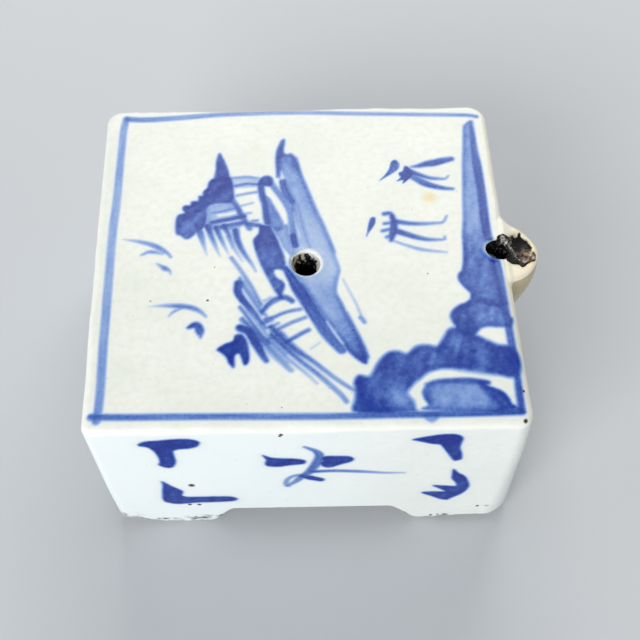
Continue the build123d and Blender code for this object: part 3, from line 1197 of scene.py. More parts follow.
def paint_sail(sheet):
    """The tall sail with its dark edges, and the first lines of the crag beside it."""
    def sail_tone(u, v):
        down = ((u + 1) * 0.2385 + (20 - v) * 0.971) / 40.7
        stops = (0, 0.12, 0.3, 0.45, 0.6, 0.66, 0.85, 1)
        return np.interp(down, stops, (0.55, 0.42, 0.34, 0.27, 0.25, 0.36, 0.42, 0.64))

    wash(sheet, sail_tone, [
        (-2.1, 23.1), (-1.9, 22.3), (-2.1, 21), (-2.1, 20.2), (-1.6, 19.8), (-1.0, 20),
        (-0.3, 19.2), (0.1, 17.5), (0.6, 15.5), (1.2, 13.5), (1.8, 11.5), (2.4, 9.5), (3.0, 7.5),
        (3.7, 5.5), (4.3, 3.5), (4.9, 1.5), (5.4, -0.5), (5.9, -2.5), (6.0, -3.5), (5.6, -5),
        (5.3, -6.5), (5.3, -7.5), (5.9, -9), (6.6, -11), (7.3, -13), (8.0, -15), (8.6, -17),
        (9.0, -18.7), (8.9, -19.7), (8.4, -19.7), (7.4, -18.9), (6.3, -17.6), (5.5, -16),
        (4.4, -14.2), (3.2, -12), (1.9, -9.6), (0.6, -7.2), (-0.6, -4.8), (-1.8, -2.6), (-1.4, 0.5),
        (-1.0, 4), (-1.2, 8), (-1.8, 12), (-2.6, 14.2), (-3.2, 15.2), (-3.4, 16.5), (-3.4, 18),
        (-3.2, 20), (-2.9, 21.5),
    ], edge=0.16, edge_width=0.45, pull=(-0.24, 0.97))
    leave_white(sheet, [0.3, 0.7, 0.3], [(-2.7, 16.2), (-2.5, 15), (-2.4, 13.8)])
    leave_white(sheet, [0.7, 0.7, 0.5], [
        (-5, 12.6), (-4.2, 11.2), (-3.3, 9.5), (-2.6, 8), (-2.1, 6.3),
    ])
    leave_white(sheet, 0.4, [(-0.9, 7.8), (-0.7, 6), (-0.3, 4.2), (0, 3)], share=0.5)
    strokes(sheet, (
        ([0.5, 0.9, 1.0, 0.9, 0.7], [0.5, 0.62, 0.66, 0.6, 0.5], [
            (-2.3, 22.7), (-2.6, 21.5), (-2.9, 20), (-3.0, 18), (-3.0, 16.5), (-3.1, 15.2),
        ]),
        ([0.5, 1.1, 0.6], 0.55, [(-0.8, 19.2), (-0.4, 18), (0.1, 16.4)]),
        (0.5, [0.5, 0.4, 0.42], [
            (-0.2, 18.9), (0.5, 15.5), (1.1, 13.5), (1.7, 11.5), (2.3, 9.5), (2.9, 7.5), (3.6, 5.5),
            (4.2, 3.5), (4.8, 1.5), (5.2, 0),
        ]),
        ([0.8, 1.9, 1.9, 1.9, 1.4], [0.7, 0.74, 0.7, 0.66, 0.6], [
            (-2.4, -2.8), (-1.5, -4.5), (-0.5, -6.5), (0.5, -8.5), (1.5, -10.5), (2.5, -12.5),
            (3.5, -14.5), (4.6, -16.2), (5.4, -17.3),
        ]),
        ([0.4, 0.6, 1.0], [0.4, 0.5, 0.6], [
            (6.5, -11), (7.2, -13), (7.9, -15), (8.5, -17), (8.8, -18.6),
        ]),
        (0.35, [0.2, 0.25, 0.3], [(6.3, -5.1), (7.1, -7.2), (8, -9.6), (8.6, -11.8)]),
        (0.6, 0.42, [(8.5, -11.9), (8.8, -12.3), (9, -12.7)]),
        (1.0, [0.72, 0.66, 0.72], [
            (-5.9, 13.5), (-5.8, 12), (-5.6, 10.5), (-5.4, 10), (-5.2, 8.5), (-5.1, 7), (-4.9, 5.9),
        ]),
        (1.0, 0.5, [
            (-4.2, 13.6), (-3.4, 12.2), (-2.6, 10.8), (-1.9, 9.4), (-1.4, 8), (-1.2, 6.5),
            (-1.1, 5), (-1.0, 3.9),
        ]),
        (1.1, 0.72, [(-1.0, 3.2), (-0.9, 2.3), (-0.7, 1.4)]),
        (1.1, 0.62, [(-2.4, 14), (-2.2, 12.5), (-1.6, 11), (-1.0, 10)]),
        (0.5, 0.36, [
            (-0.2, 9.5), (0.1, 8), (0.3, 6.5), (0.6, 5), (0.9, 3.5), (1.2, 2), (1.6, 0.8),
        ]),
    ))


def paint_crag(sheet):
    """The leaning crag left of the sail, and the steps and hatched slope below it."""
    wash(sheet, 0.48, [
        (-5.6, 11), (-4.6, 10.8), (-4.0, 9.5), (-3.3, 8), (-2.7, 6.5), (-2.4, 5.5), (-2.6, 4.5),
        (-3.5, 4), (-4.3, 4.8), (-5.1, 6),
    ])
    wash(sheet, 0.72, [
        (-6.2, 13.6), (-6.1, 14.6), (-5.4, 15.2), (-4.7, 15.3), (-4.1, 14.8), (-3.9, 14),
        (-4.2, 13.2), (-5.2, 13.2),
    ])
    wash(sheet, 0.36, [
        (-4.1, 4.6), (-3, 5), (-1.8, 5.5), (-1.5, 3.5), (-1.3, 1.5), (-1.4, -0.5), (-2.0, 0.2),
        (-2.6, 1), (-3.1, 2.4), (-3.7, 3.6),
    ])
    wash(sheet, lambda u, v: 0.64 + 0.14 * smooth((v + 1) / 3), [
        (-6.2, 5.4), (-5, 5.3), (-4.4, 5), (-4, 4), (-3.6, 3), (-3.1, 1.5), (-2.7, 0.3),
        (-2.4, -0.8), (-2.3, -2.2), (-2.7, -3.1), (-3.4, -3.0), (-4.0, -3.2), (-4.0, -3.9),
        (-3.5, -4.7), (-2.8, -5.1), (-2.5, -6), (-2.8, -7), (-3.4, -7.6), (-4, -7), (-4.6, -5.6),
        (-5.2, -4.2), (-5.8, -2.8), (-6.3, -1.4), (-6.7, 0), (-7, 1.4), (-7.1, 2.6), (-6.4, 3.6),
        (-6.2, 4.6),
    ])
    leave_white(sheet, 0.4, [(-3.6, -3.6), (-2.6, -5), (-2.1, -5.5)], share=0.5)
    leave_white(sheet, [0.3, 0.5, 0.3], [(3.5, -12.5), (4.5, -14.3), (5.6, -16.2)], share=0.6)
    strokes(sheet, (
        (0.8, 0.65, [(-7.9, 5.6), (-7.1, 5.5), (-6.2, 5.3)]),
        ([0.6, 0.9, 0.8], 0.62, [
            (-6, -10.6), (-5, -9.3), (-4, -8.5), (-3, -8.1), (-2.2, -8.2), (-1.5, -8.7),
        ]),
        (0.8, 0.62, [(-3.4, -6.8), (-3.1, -8)]),
        (0.5, 0.25, [(-5.6, -8.7), (-4.6, -8.1)]),
        (0.5, 0.5, [(-5.5, -11.9), (-4.2, -11.5), (-2.8, -10.8), (-1.5, -10.4), (-0.3, -10.2)]),
        (0.5, 0.5, [(-4.2, -13.9), (-2.8, -13.1), (-1.5, -12.4), (-0.3, -11.9), (0.4, -11.6)]),
        (0.6, 0.58, [(-2.6, -15.9), (-1.4, -15.1), (-0.3, -14.4), (0.8, -13.8)]),
        (0.35, 0.18, [(1.0, -17), (1.7, -16.5), (2.3, -16)]),
        (0.7, 0.5, [(-6, -12.6), (-4.6, -11.9)]),
        (0.45, 0.4, [(-8.6, -5.2), (-7.8, -6.9), (-6.8, -8.7), (-6, -10.2), (-5.3, -11.4)]),
        (0.45, 0.4, [
            (-8.2, -10.2), (-7.2, -11.6), (-6.2, -13.2), (-5.2, -14.7), (-4, -16.3), (-2.6, -17.8),
        ]),
        (0.4, 0.36, [(-6.9, -13.2), (-6, -14.6), (-4.9, -16.3), (-3.6, -18), (-2.4, -19.4)]),
        (0.4, 0.36, [(-3.6, -13.6), (-2.4, -15.2), (-1, -16.8), (0.6, -18.4)]),
        (0.4, 0.45, [(-5.6, -13.5), (-4.6, -13.1), (-3.6, -12.6)]),
        (0.4, 0.45, [(-5.2, -15.3), (-4.2, -14.9), (-3.2, -14.4)]),
        ([0.8, 0.7, 0.5], [0.6, 0.52, 0.42], [
            (-4.6, -13.2), (-3.4, -14.8), (-2.2, -16.2), (-0.8, -17.6), (0.8, -18.8), (2.4, -20.3),
            (4.2, -22), (6, -23.5), (6.9, -24.1),
        ]),
        (0.7, [0.6, 0.5, 0.4], [
            (-4.6, -14.6), (-3.2, -16.2), (-1.6, -18), (0, -19.6), (1.8, -21.3), (3.4, -23),
            (4.8, -24.6), (5.6, -25.8),
        ]),
        (0.5, [0.45, 0.4, 0.2], [
            (-5.2, -15.4), (-3.8, -17), (-2.4, -18.6), (-1, -20), (0.4, -21.4), (1.6, -22.8),
        ]),
        (0.4, 0.3, [(-6, -16.2), (-4.8, -18), (-3.2, -19.6), (-2.2, -20.6)]),
    ))
    wash(sheet, 0.32, [
        (-5.2, -12.9), (-3.9, -13.8), (-2.8, -14.2), (-2, -15.4), (-1, -16.6), (0, -17.6),
        (-0.6, -18.2), (-2, -17.4), (-3.4, -16.4), (-4.6, -15.2),
    ])


def paint_boats(sheet):
    """Two small boats far out, each a knot of short touches with trailing lines."""
    wash(sheet, 0.62, [
        (15.3, 17.9), (15.9, 18.1), (16.4, 17.3), (16.2, 16.3), (15.3, 15.4), (14.3, 14.7),
        (13, 13.8), (13.9, 14.9), (14.7, 16.2), (15, 17.2),
    ], soft=0.3)
    wash(sheet, 0.72, [
        (17.2, 16.7), (17.8, 16.6), (18.3, 15.6), (18.2, 14.6), (17.6, 14), (16.7, 13.2),
        (16.8, 13.9), (15.8, 13.7), (16.4, 14.4), (16.2, 15.3), (16.9, 15.8),
    ], soft=0.3)
    wash(sheet, 0.62, [
        (11.2, 6.4), (11.8, 6.4), (11.8, 5.5), (11.4, 4.6), (10.6, 3.4), (10.3, 2.8), (10.5, 4),
        (10.8, 5.4),
    ], soft=0.3)
    strokes(sheet, (
        ([0.3, 0.9, 1.3, 1.2, 0.9], [0.5, 0.66, 0.7, 0.6], [
            (18.3, 16.6), (19.5, 16.8), (20.8, 17.2), (22, 17.4), (23.3, 17.8), (24.9, 18.2),
        ]),
        ([1.0, 0.7, 0.6, 0.2], [0.7, 0.55, 0.4], [
            (18, 15.6), (19.5, 14.9), (21, 14.3), (22.5, 14.1), (23.5, 14.1), (24.1, 14.7),
        ]),
        ([0.8, 1.2, 0.9, 0.5], [0.6, 0.68, 0.5], [
            (17.8, 14.9), (19, 14), (20.3, 13.1), (21.8, 12.5), (23.3, 12.1), (24.5, 12),
        ]),
        (0.7, 0.6, [(13.3, 7.1), (14.2, 7.2), (14.6, 6.5)]),
        ([0.7, 1.1, 1.1, 0.6], 0.72, [(14.5, 6.6), (14.7, 5.5), (14.6, 4.3), (14.3, 3), (14, 2)]),
        (0.5, 0.6, [(14.4, 5.4), (13.2, 5.2)]),
        (0.5, 0.6, [(14.3, 4.2), (12.8, 3.8)]),
        (0.5, 0.55, [(14.2, 3.0), (13.4, 2.6)]),
        ([0.8, 0.7, 0.5, 0.3], [0.66, 0.5, 0.36], [
            (15, 5.6), (17, 5.2), (19, 5.1), (21, 5.2), (22.3, 5.4), (23, 6.6),
        ]),
        ([1.0, 0.9, 0.6, 0.3], [0.7, 0.6, 0.4], [
            (15, 3.7), (16.5, 3.1), (18, 2.5), (19.5, 2.1), (21, 2), (22.2, 2.1), (22.3, 2.6),
        ]),
        ([0.3, 0.6, 0.4], [0.36, 0.4, 0.26], [
            (14.5, 1.8), (16, 1.1), (18, 0.3), (20, -0.1), (22.3, -0.4),
        ]),
    ))


def paint_cliff(sheet):
    """The cliff down the right side and the boulders that run from it along the front."""
    wash(sheet, lambda u, v: 0.40 + 0.22 * smooth((6 - v) / 8), [
        (28.9, 26.4), (27.8, 25.6), (27.5, 25), (27, 21), (26.6, 18), (26.2, 14), (25.8, 10),
        (25.4, 6), (25, 3), (24.8, 0), (24.6, -2), (24.2, -3.7), (23.6, -4.5), (23.5, -5.5),
        (24.1, -6.7), (25, -8), (25.3, -9.4), (29.6, -10.5), (29.6, -6), (29.4, 0), (29.2, 8),
        (29.2, 16), (29.1, 24),
    ], edge=0.14)
    stroke(sheet, [0.6, 1.4, 1.4, 1.4, 1.2], [0.55, 0.66, 0.66, 0.68, 0.6], [
        (29, 26.2), (28.8, 20), (28.9, 15), (28.9, 10), (28.8, 5), (28.9, 2), (29.5, -2),
        (29.7, -6), (29.8, -10),
    ])
    stroke(sheet, [1.1, 1.0], [0.6, 0.7], [(29.8, -10), (29.9, -16), (29.9, -22), (29.8, -27.6)])
    wash(sheet, lambda u, v: 0.70 - 0.10 * smooth((u - 24.5) / 2) + 0.08 * cloud(u, v, 2.2, 25), [
        (25.2, -9), (24.2, -9.6), (23, -10.1), (22, -11), (21.6, -12), (21.8, -12.9), (22.2, -13.8),
        (22.0, -14.6), (24.4, -15.6), (24.9, -15.2), (25.3, -14.7), (26, -14.1), (27, -13.9),
        (28.5, -14), (30.1, -14), (30.6, -13.2), (30.7, -12.4), (30.3, -12), (29.8, -10.4),
        (27.5, -8.8),
    ], edge=0.14, edge_width=0.7, soft=0.8)

    def boulder_tone(u, v):
        pale = np.exp(-(((u - 12.9) / 2.2) ** 2) - ((v + 25.4) / 1.9) ** 2)
        pale = np.maximum(pale, 0.4 * np.exp(-(((u - 21.5) / 2.5) ** 2) - ((v + 16.5) / 1.6) ** 2))
        return 0.74 - 0.26 * pale + 0.10 * cloud(u, v, 2.4, 26) + 0.07 * smooth((u - 25) / 3)

    wash(sheet, boulder_tone, [
        (22, -14), (21.2, -14.2), (20.6, -15), (20, -16), (19.3, -17), (18.8, -17.1), (18, -16.9),
        (17, -16.8), (16, -17.1), (15.3, -17.8), (14.6, -18.2), (13.5, -17.8), (12.3, -17.9),
        (11.2, -18.7), (10.3, -19.9), (9.8, -20.8), (9.1, -21.8), (8.4, -21.8), (7.6, -21.7),
        (7.1, -22.2), (6.9, -23), (7, -24.2), (6.8, -25.5), (6.6, -27.4), (10, -27.8), (15, -27.6),
        (15.1, -27.2), (15, -26), (14.5, -25.2), (14.3, -24.5), (15, -23.5), (15.8, -22.7),
        (17, -21.8), (18, -21.2), (19.5, -20.9), (21, -21), (23, -21.4), (25, -21.8),
        (27.5, -22.1), (29.3, -22.5), (30.4, -21.6), (30.7, -19.6), (30.3, -17.8), (29.4, -17.2),
        (28, -17), (26.5, -16.2), (25.2, -15.4), (23.6, -14.6),
    ], edge=0.10, edge_width=0.7, soft=1.1)
    wash(sheet, 0.5, [
        (26.6, -17.3), (28.6, -17.7), (30.2, -18.3), (30.2, -21), (28.4, -21.6), (26.6, -20.8),
    ], soft=1.4)
    leave_white(sheet, [0.8, 1.3, 1.3, 0.8], [
        (17.2, -22.3), (20, -21.3), (23, -21.6), (26, -22.2), (29, -22.8),
    ], share=0.5, soft=1.3)

    def front_rock_tone(u, v):
        left_end = 0.12 * smooth((19 - u) / 3)
        return 0.44 + left_end + 0.24 * smooth((u + 0.6 * v - 9.4) / 1.6)

    wash(sheet, front_rock_tone, [
        (16.2, -27.3), (16.9, -26.6), (16.4, -25.5), (16.3, -24.5), (16.8, -23.6), (17.5, -23),
        (18.6, -22.7), (20.5, -22.5), (22.5, -22.5), (24.5, -22.7), (25.6, -22.9), (25.8, -23.3),
        (25.5, -23.6), (27.3, -24.4), (28.2, -25.4), (28.6, -26.5), (29, -27.4), (22, -27.7),
    ], edge=0.14, edge_width=0.6)
    stroke(sheet, [0.6, 0.8, 0.9, 0.7], [0.5, 0.6, 0.66, 0.6], [
        (17, -23.4), (18.6, -22.9), (20.6, -22.8), (22.6, -22.8), (24.5, -22.95), (25.7, -23.2),
    ])


def paint_lid(points, slope):
    """The cobalt on the lid and on the upward part of the spout."""
    x, y, z = points.T
    sheet = clean_sheet(x, y)
    paint_frame_lines(sheet)
    paint_birds(sheet)
    paint_reeds(sheet)
    paint_sail(sheet)
    paint_crag(sheet)
    paint_boats(sheet)
    paint_cliff(sheet)
    air_ring, mouth_ring = rings(x, y)
    bare_rim = 0.02 + 0.20 * smooth((x - air_hole[0] + 0.4 * (y - air_hole[1])) / 2.2)
    wiped = smooth((air_ring - bare_rim) / (0.35 + 1.2 * bare_rim) + 0.3 * cloud(x, y, 0.8, 60))
    wiped *= 1 - 0.8 * (1 - smooth((mouth_ring - 0.1) / 0.5)) * smooth((29.4 - x) / 0.8)
    return sheet["laid"] * wiped * smooth((slope[:, 2] - 0.35) / 0.3) * (z > seam + 2)


def lid_coats(points, slope):
    """Where the lid's glaze ran thin and cream, its stains, and in the holes stains of ink with
    painted shade that darkens with depth. The painted shade starts at a different depth on each
    side of the air hole, with a khaki tint on its left, and is thick all round the bore."""
    x, y, z = points.T
    tilt = slope[:, 2]
    upper = smooth((z - seam) / 2)
    cream = smooth((x - 29.9) / 1.2) * (0.35 + 0.45 * smooth((-1 - y) / 3) * smooth((y + 24) / 6))
    cream *= (0.75 + 0.25 * cloud(x, y, 1.7, 62)) * smooth((tilt - 0.3) / 0.3)
    air_gap = np.hypot(x - air_hole[0], y - air_hole[1])
    in_air_hole = smooth((air_hole_radius + 0.25 - air_gap) / 0.3)
    # Painted shade that darkens deeper in the air hole, with ink stains; its start depth varies
    # round it
    turn = np.arctan2(y - air_hole[1], x - air_hole[0])
    patchy = cloud(2.2 * turn, z, 0.8, 64) + 0.9 * cloud(2.2 * turn, z, 0.4, 65)
    start = 0.35 + 1.7 * np.exp(-(((turn - 0.05) / 0.55) ** 2))
    start = start + 1.9 * np.exp(-(((turn + 2.75) / 0.45) ** 2))
    hole_stain_and_shade = 0.95 * smooth((height - start - z + 0.9 * patchy) / 0.9) * in_air_hole
    hole_stain_and_shade = np.maximum(hole_stain_and_shade, smooth((height - 2.4 - z + 0.4 * patchy) / 0.7) * in_air_hole)
    # Painted shade and dried ink down the bore
    bore_ink_and_shade = smooth((bore(x, y, z) + 0.30) / 0.3) * smooth((height - 0.10 - z) / 0.3)
    grime = np.maximum(hole_stain_and_shade, bore_ink_and_shade)
    # Inside the air hole below its rim: a khaki tint on the left, and light painted shade all round
    below_rim = smooth((height - 0.12 - z) / 0.3)
    khaki = 0.7 * in_air_hole * below_rim * smooth((air_hole[0] + 1 - x) / 2)
    grime = np.maximum(grime, 0.3 * in_air_hole * below_rim)
    stain = np.zeros(len(x))
    for middle, reach, softness, strength in lid_stains:
        gap = np.hypot(x - middle[0], y - middle[1])
        stain = np.maximum(stain, strength * smooth((reach - gap) / softness) * upper)
    return cream, khaki, stain, grime


lid, points, slope = fire_piece(
    "top_slab_fired",
    top_skin,
    low=(-half_width - clear, -half_depth - clear, seam),
    high=(half_width + clear, half_depth + clear, height + clear),
    grid=top_grid,
    notch=spout_notch,
)
cool, thin = glaze_coats(points, slope)
cream, khaki, stain, grime = lid_coats(points, slope)
cobalt = np.maximum(paint_sides(points, slope), paint_lid(points, slope))
keep_coats(
    lid, cobalt=cobalt, cool=cool, thin=thin, cream=cream, khaki=khaki, stain=stain, grime=grime
)
lid.data.materials.append(porcelain)
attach(lid, "root")
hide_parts("top_slab")


# Spout: a half-round lug of clay, luted to wall and lid, drawn down to a point below and dished on
# top by a thumb, where the bore opens. It is glazed over like the rest.
lug_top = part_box("spout")[1].z / MM
lug_middle = (30.51, 0.08)
lug_radius = 5.8
lug_rim_radius = 0.6
dish_rim_radius = 0.3
dish_middle = (33.65, 0.3, lug_top + 0.1)
dish_reach = (1.85, 3.1, 1.3)
spout_reach = 8
spout_grid = 0.115


def lug_side(x, y, z):
    """How far a point is outside the lug's round side, which is a little flatter at the back."""
    down = lug_top - z
    taper = 0.058 * np.maximum(down - 2, 0) ** 1.6 + 0.3 * np.maximum(down - 12.5, 0) ** 2
    out, aside = x - lug_middle[0], y - lug_middle[1]
    flat = 0.5 * smooth(2 * out * np.maximum(aside, 0) / np.maximum(out**2 + aside**2, 0.01))
    return np.hypot(out, aside) - lug_radius + taper + flat


def spout_skin(x, y, z):
    """Body and lug in one, smeared together, dished and bored."""
    lug = eased(lug_side(x, y, z), z - lug_top - 0.12 * cloud(x, y, 2.4, 71), lug_rim_radius)
    smear = (0.8 + 0.7 * smooth((y + 3) / 6)) * smooth((x - 30.4) / 1.2)
    skin = luted(fired_block(x, y, z - rim_swell(x, y)), lug, smear)
    hollow = [(a - middle) / reach for a, middle, reach in zip((x, y, z), dish_middle, dish_reach)]
    dish = (1 - np.sqrt(hollow[0] ** 2 + hollow[1] ** 2 + hollow[2] ** 2)) * dish_reach[2]
    return eased(eased(skin, dish, dish_rim_radius), bore(x, y, z), bore_rim_radius)


def lug_coats(points, slope):
    """Cream on the lug's top, thinner on its rim to leave a painted highlight; khaki painted shade
    on its side, which turns away from the light; and a stain round the ink.
    """
    x, y, z = points.T
    tilt = slope[:, 2]
    on_lug = smooth((0.9 - lug_side(x, y, z)) / 1.2)
    on_lug = on_lug * smooth((x - 30.3 + 0.3 * cloud(y, z, 3, 61)) / 2.4)
    cream = (0.8 + 0.2 * cloud(x, y, 1.7, 66)) * on_lug * smooth((tilt - 0.3) / 0.3)
    # Less cream towards the back, and less on the rounded rim, where that leaves a painted
    # highlight
    cream *= (1 - 0.55 * smooth((y + 0.2) / 2.5)) * (1 - 2.2 * tilt * (1 - tilt))
    # Khaki painted shade where the side turns away from the light, weaker at its outer back and low
    # down
    khaki = (0.85 + 0.15 * cloud(y, z, 1.5, 63)) * smooth(2 * on_lug) * smooth((0.5 - tilt) / 0.4)
    khaki *= 1 - 0.45 * smooth((x + 0.6 * y - 35.6) / 1.2)
    khaki *= 1 - 0.7 * smooth((lug_top - 7 - z) / 9)
    crust_gap = np.hypot((x - 33.6) / 2.2, (y - 0.2) / 3.2)
    stain = 0.28 * smooth((1.35 - crust_gap) / 0.4) * smooth((tilt - 0.3) / 0.3)
    stain = stain * smooth((x - 31.5) / 0.8)
    return cream, khaki, stain


spout, points, slope = fire_piece(
    "spout_fired",
    spout_skin,
    low=(half_width - spout_recess, -spout_half_reach, spout_foot),
    high=(half_width + spout_reach, spout_half_reach, height + clear),
    grid=spout_grid,
)
cool, thin = glaze_coats(points, slope)
*lid_tints, grime = lid_coats(points, slope)
cream, khaki, stain = np.maximum(lid_tints, lug_coats(points, slope))
cobalt = np.maximum(paint_sides(points, slope), paint_lid(points, slope))
cobalt *= smooth((lug_side(*points.T) + half_width + 5.4 - points[:, 0]) / 0.4)
keep_coats(
    spout, cobalt=cobalt, cool=cool, thin=thin, cream=cream, khaki=khaki, stain=stain, grime=grime
)
spout.data.materials.append(porcelain)
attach(spout, "root")
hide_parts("spout")


# Dried ink: years of it, caked in the dish and down the mouth of the bore. It is matt black and
# lumpy, brown where it is thin, with a pale ridge of scale that water left behind.
crust_grid = 0.115
crust_outline = (
    (30.0, 1.9), (30.2, 2.3), (30.6, 2.75), (31.1, 2.95), (31.7, 2.75), (32.1, 2.4), (32.4, 2.6),
    (32.65, 3.25), (32.85, 3.0), (33.1, 2.8), (33.35, 2.95), (33.6, 3.4), (34.0, 3.4),
    (34.4, 2.8), (34.8, 2.2), (35.2, 1.6), (35.5, 1.1), (35.6, 0.6), (35.6, 0.2), (35.9, -0.6),
    (35.9, -1.7), (35.6, -2.1), (35.0, -2.4), (34.4, -2.5), (34.1, -2.9), (33.6, -3.3),
    (33.2, -3.1), (33.0, -2.75), (32.2, -2.7), (31.5, -2.3), (31.1, -1.8), (31.6, -1.2), (31.9, 0),
    (31.5, 1.2), (30.7, 1.6),
)
scale_ridge = [
    (32.1, 2.2), (32.3, 1), (32.5, 0.4), (32.8, -0.3), (33.2, -1.2), (33.6, -1.3), (34.2, -1.7),
]
scale_curl = [(31.0, 2.2), (31.2, 1.6), (31.6, 1.5)]


def crust_skin(x, y, z):
    """A lumpy layer on the spout's skin, rooted in it, which thins out and sinks below it at the
    crust's rim."""
    sunk, root = 0.3, 0.2
    gap = outline_gap(x, y, crust_outline) + 0.10 * cloud(x, y, 0.5, 81)
    cover = smooth(-gap / 0.35 + 0.2)
    lumps = 0.20 + 0.14 * cloud(x, y, 0.85, 82) + 0.10 * cloud(x, y, 0.4, 83)
    under = spout_skin(x, y, z)
    return np.maximum(under - (lumps + sunk) * cover + sunk, -under - root)


crust, points, slope = fire_piece(
    "dried_ink_crust",
    crust_skin,
    low=(29.6, -4.5, lug_top - 2.6),
    high=(half_width + 6, 4.5, height + clear),
    grid=crust_grid,
)
scale = clean_sheet(points[:, 0], points[:, 1])
stroke(scale, [0.2, 0.4, 0.3, 0.5, 0.3], [0.5, 0.9, 0.7, 1.0, 0.7], scale_ridge, soft=0.4)
stroke(scale, 0.45, 0.75, scale_curl, soft=0.5)
thin_ink = clean_sheet(points[:, 0], points[:, 1])
wash(thin_ink, 0.8, [
    (33.6, 0.2), (35.2, 0.4), (36, -0.8), (35.8, -2.6), (34.2, -2.3), (33.5, -1),
], soft=0.8)
stroke(thin_ink, 0.3, 0.6, [(34.4, 3.2), (35.3, 2), (35.8, 0.8)])
leave_white(thin_ink, 0.4, [(34.2, -2.5), (34.9, -2.3), (35.5, -2.1)], share=1.0)
keep_coats(crust, scale=scale["laid"], thin_ink=thin_ink["laid"])

dried_ink = empty_material("dried_caked_ink")
place = add(dried_ink, "ShaderNodeTexCoord", {}, "Object")
# Noise of two sizes: caked lumps and the crust's grain
coarse, fine = [
    add(dried_ink, "ShaderNodeTexNoise", {
        "Vector": place,
        "Scale": 1 / (size * MM),
        "Detail": 3.0,
    }, "Fac")
    for size in (0.9, 0.35)
]
black = add(dried_ink, "ShaderNodeValToRGB", {
    "Fac": coarse,
    "stops": [(0.40, "#08080b"), (0.68, "#1e1d20")],
}, "Color")
brown = add(dried_ink, "ShaderNodeValToRGB", {
    "Fac": coarse,
    "stops": [(0.36, "#2c2522"), (0.46, "#7a6453"), (0.54, "#a48c78"), (0.62, "#e4dacd")],
}, "Color")
chalk = add(dried_ink, "ShaderNodeValToRGB", {
    "Fac": fine,
    "stops": [(0.40, "#1c1b1d"), (0.50, "#8d8781"), (0.60, "#f0ebe2")],
}, "Color")
ink_colour = black
for coat, colour in (("thin_ink", brown), ("scale", chalk)):
    share = add(dried_ink, "ShaderNodeAttribute", {"attribute_name": coat}, "Fac")
    ink_colour = add(dried_ink, "ShaderNodeMix", {
        "data_type": "RGBA",
        "Factor_Float": share,
        "A_Color": ink_colour,
        "B_Color": colour,
    }, "Result_Color")
ink_bump = add(dried_ink, "ShaderNodeBump", {
    "Height": fine,
    "Strength": 0.8,
    "Distance": 0.10 * MM,
}, "Normal")
ink_shine = add(dried_ink, "ShaderNodeBsdfPrincipled", {
    "Base Color": ink_colour,
    "Roughness": 0.7,
    "Specular IOR Level": 0.15,
    "IOR": 1.5,
    "Normal": ink_bump,
}, "BSDF")
add(dried_ink, "ShaderNodeOutputMaterial", {"Surface": ink_shine})

crust.data.materials.append(dried_ink)
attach(crust, "root")


# Floor and light: a pale matt table, a broad soft lamp from the left front, a weaker one from the
# back that the lid's glaze shows as a faint sheen, and an even pale room. Far off, the camera sees
# the table fade into the room. Places and sizes here are in metres.
room_colour = "#d6d9dc"
light_middle = (0, 0, 0.016)
fade_start, fade_end = 0.15, 0.9
floor_half_size = 2.0
floor_corners = [
    (a * floor_half_size, b * floor_half_size, 0) for a, b in [(-1, -1), (1, -1), (1, 1), (-1, 1)]
]
floor_mesh = bpy.data.meshes.new("floor")
floor_mesh.from_pydata(floor_corners, [], [(0, 1, 2, 3)])
floor = bpy.data.objects.new("floor", floor_mesh)
bpy.context.scene.collection.objects.link(floor)
paper = empty_material("matt_pale_table")
paper_shade = add(paper, "ShaderNodeTexNoise", {"Scale": 1 / (60 * MM), "Detail": 3.0}, "Fac")
paper_colour = add(paper, "ShaderNodeValToRGB", {
    "Fac": paper_shade,
    "stops": [(0.3, "#c0c3c7"), (0.7, "#c6c9cc")],
}, "Color")
paper_shine = add(paper, "ShaderNodeBsdfPrincipled", {
    "Base Color": paper_colour,
    "Roughness": 0.9,
}, "BSDF")
place = add(paper, "ShaderNodeTexCoord", {}, "Object")
away = add(paper, "ShaderNodeVectorMath", {"operation": "LENGTH", "Vector": place}, "Value")
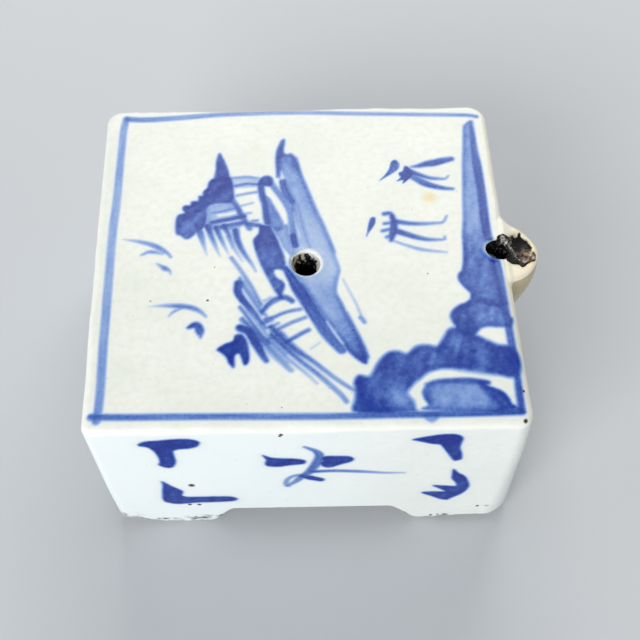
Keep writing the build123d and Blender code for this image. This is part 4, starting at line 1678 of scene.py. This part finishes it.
far_off = add(paper, "ShaderNodeMapRange", {
    "interpolation_type": "SMOOTHSTEP",
    "Value": away,
    "From Min": fade_start,
    "From Max": fade_end,
}, "Result")
blends_in = add(paper, "ShaderNodeMath", {
    "operation": "MULTIPLY",
    "Value": far_off,
    "Value_001": add(paper, "ShaderNodeLightPath", {}, "Is Camera Ray"),
})
room_tint = add(paper, "ShaderNodeEmission", {
    "Color": srgb(room_colour),
    "Strength": 1.0,
}, "Emission")
paper_mix = add(paper, "ShaderNodeMixShader", {
    "Fac": blends_in,
    "Shader": paper_shine,
    "Shader_001": room_tint,
}, "Shader")
add(paper, "ShaderNodeOutputMaterial", {"Surface": paper_mix})
floor.data.materials.append(paper)


def lamp(name, at, size, watts, colour):
    """A soft square lamp that faces the dropper."""
    light = bpy.data.lights.new(name, "AREA")
    light.shape, light.size, light.energy = "SQUARE", size, watts
    light.color = srgb(colour)[:3]
    holder = bpy.data.objects.new(name, light)
    away = np.array(at) - light_middle
    holder.location = at
    holder.rotation_mode = "QUATERNION"
    holder.rotation_quaternion = Vector(away).to_track_quat("Z", "Y")
    bpy.context.scene.collection.objects.link(holder)


lamp("key_lamp", at=(-0.35, -0.60, 0.38), size=0.5, watts=4.9, colour="#fdfdfd")
lamp("back_lamp", at=(0.05, 0.38, 0.33), size=0.35, watts=1.6, colour="#fffcf6")

room = bpy.data.worlds.new("pale_room")
room.use_nodes = True
room.node_tree.nodes.clear()
bpy.context.scene.world = room
seen = 0.0
for ray in ("Is Camera Ray", "Is Glossy Ray", "Is Transmission Ray"):
    seen = add(room, "ShaderNodeMath", {
        "operation": "MAXIMUM",
        "Value": seen,
        "Value_001": add(room, "ShaderNodeLightPath", {}, ray),
    })
room_shades = [
    add(room, "ShaderNodeBackground", {"Color": srgb(colour), "Strength": strength}, "Background")
    for colour, strength in (("#eef2f6", 0.45), (room_colour, 1.0))
]
room_mix = add(room, "ShaderNodeMixShader", {
    "Fac": seen,
    "Shader": room_shades[0],
    "Shader_001": room_shades[1],
}, "Shader")
add(room, "ShaderNodeOutputWorld", {"Surface": room_mix})
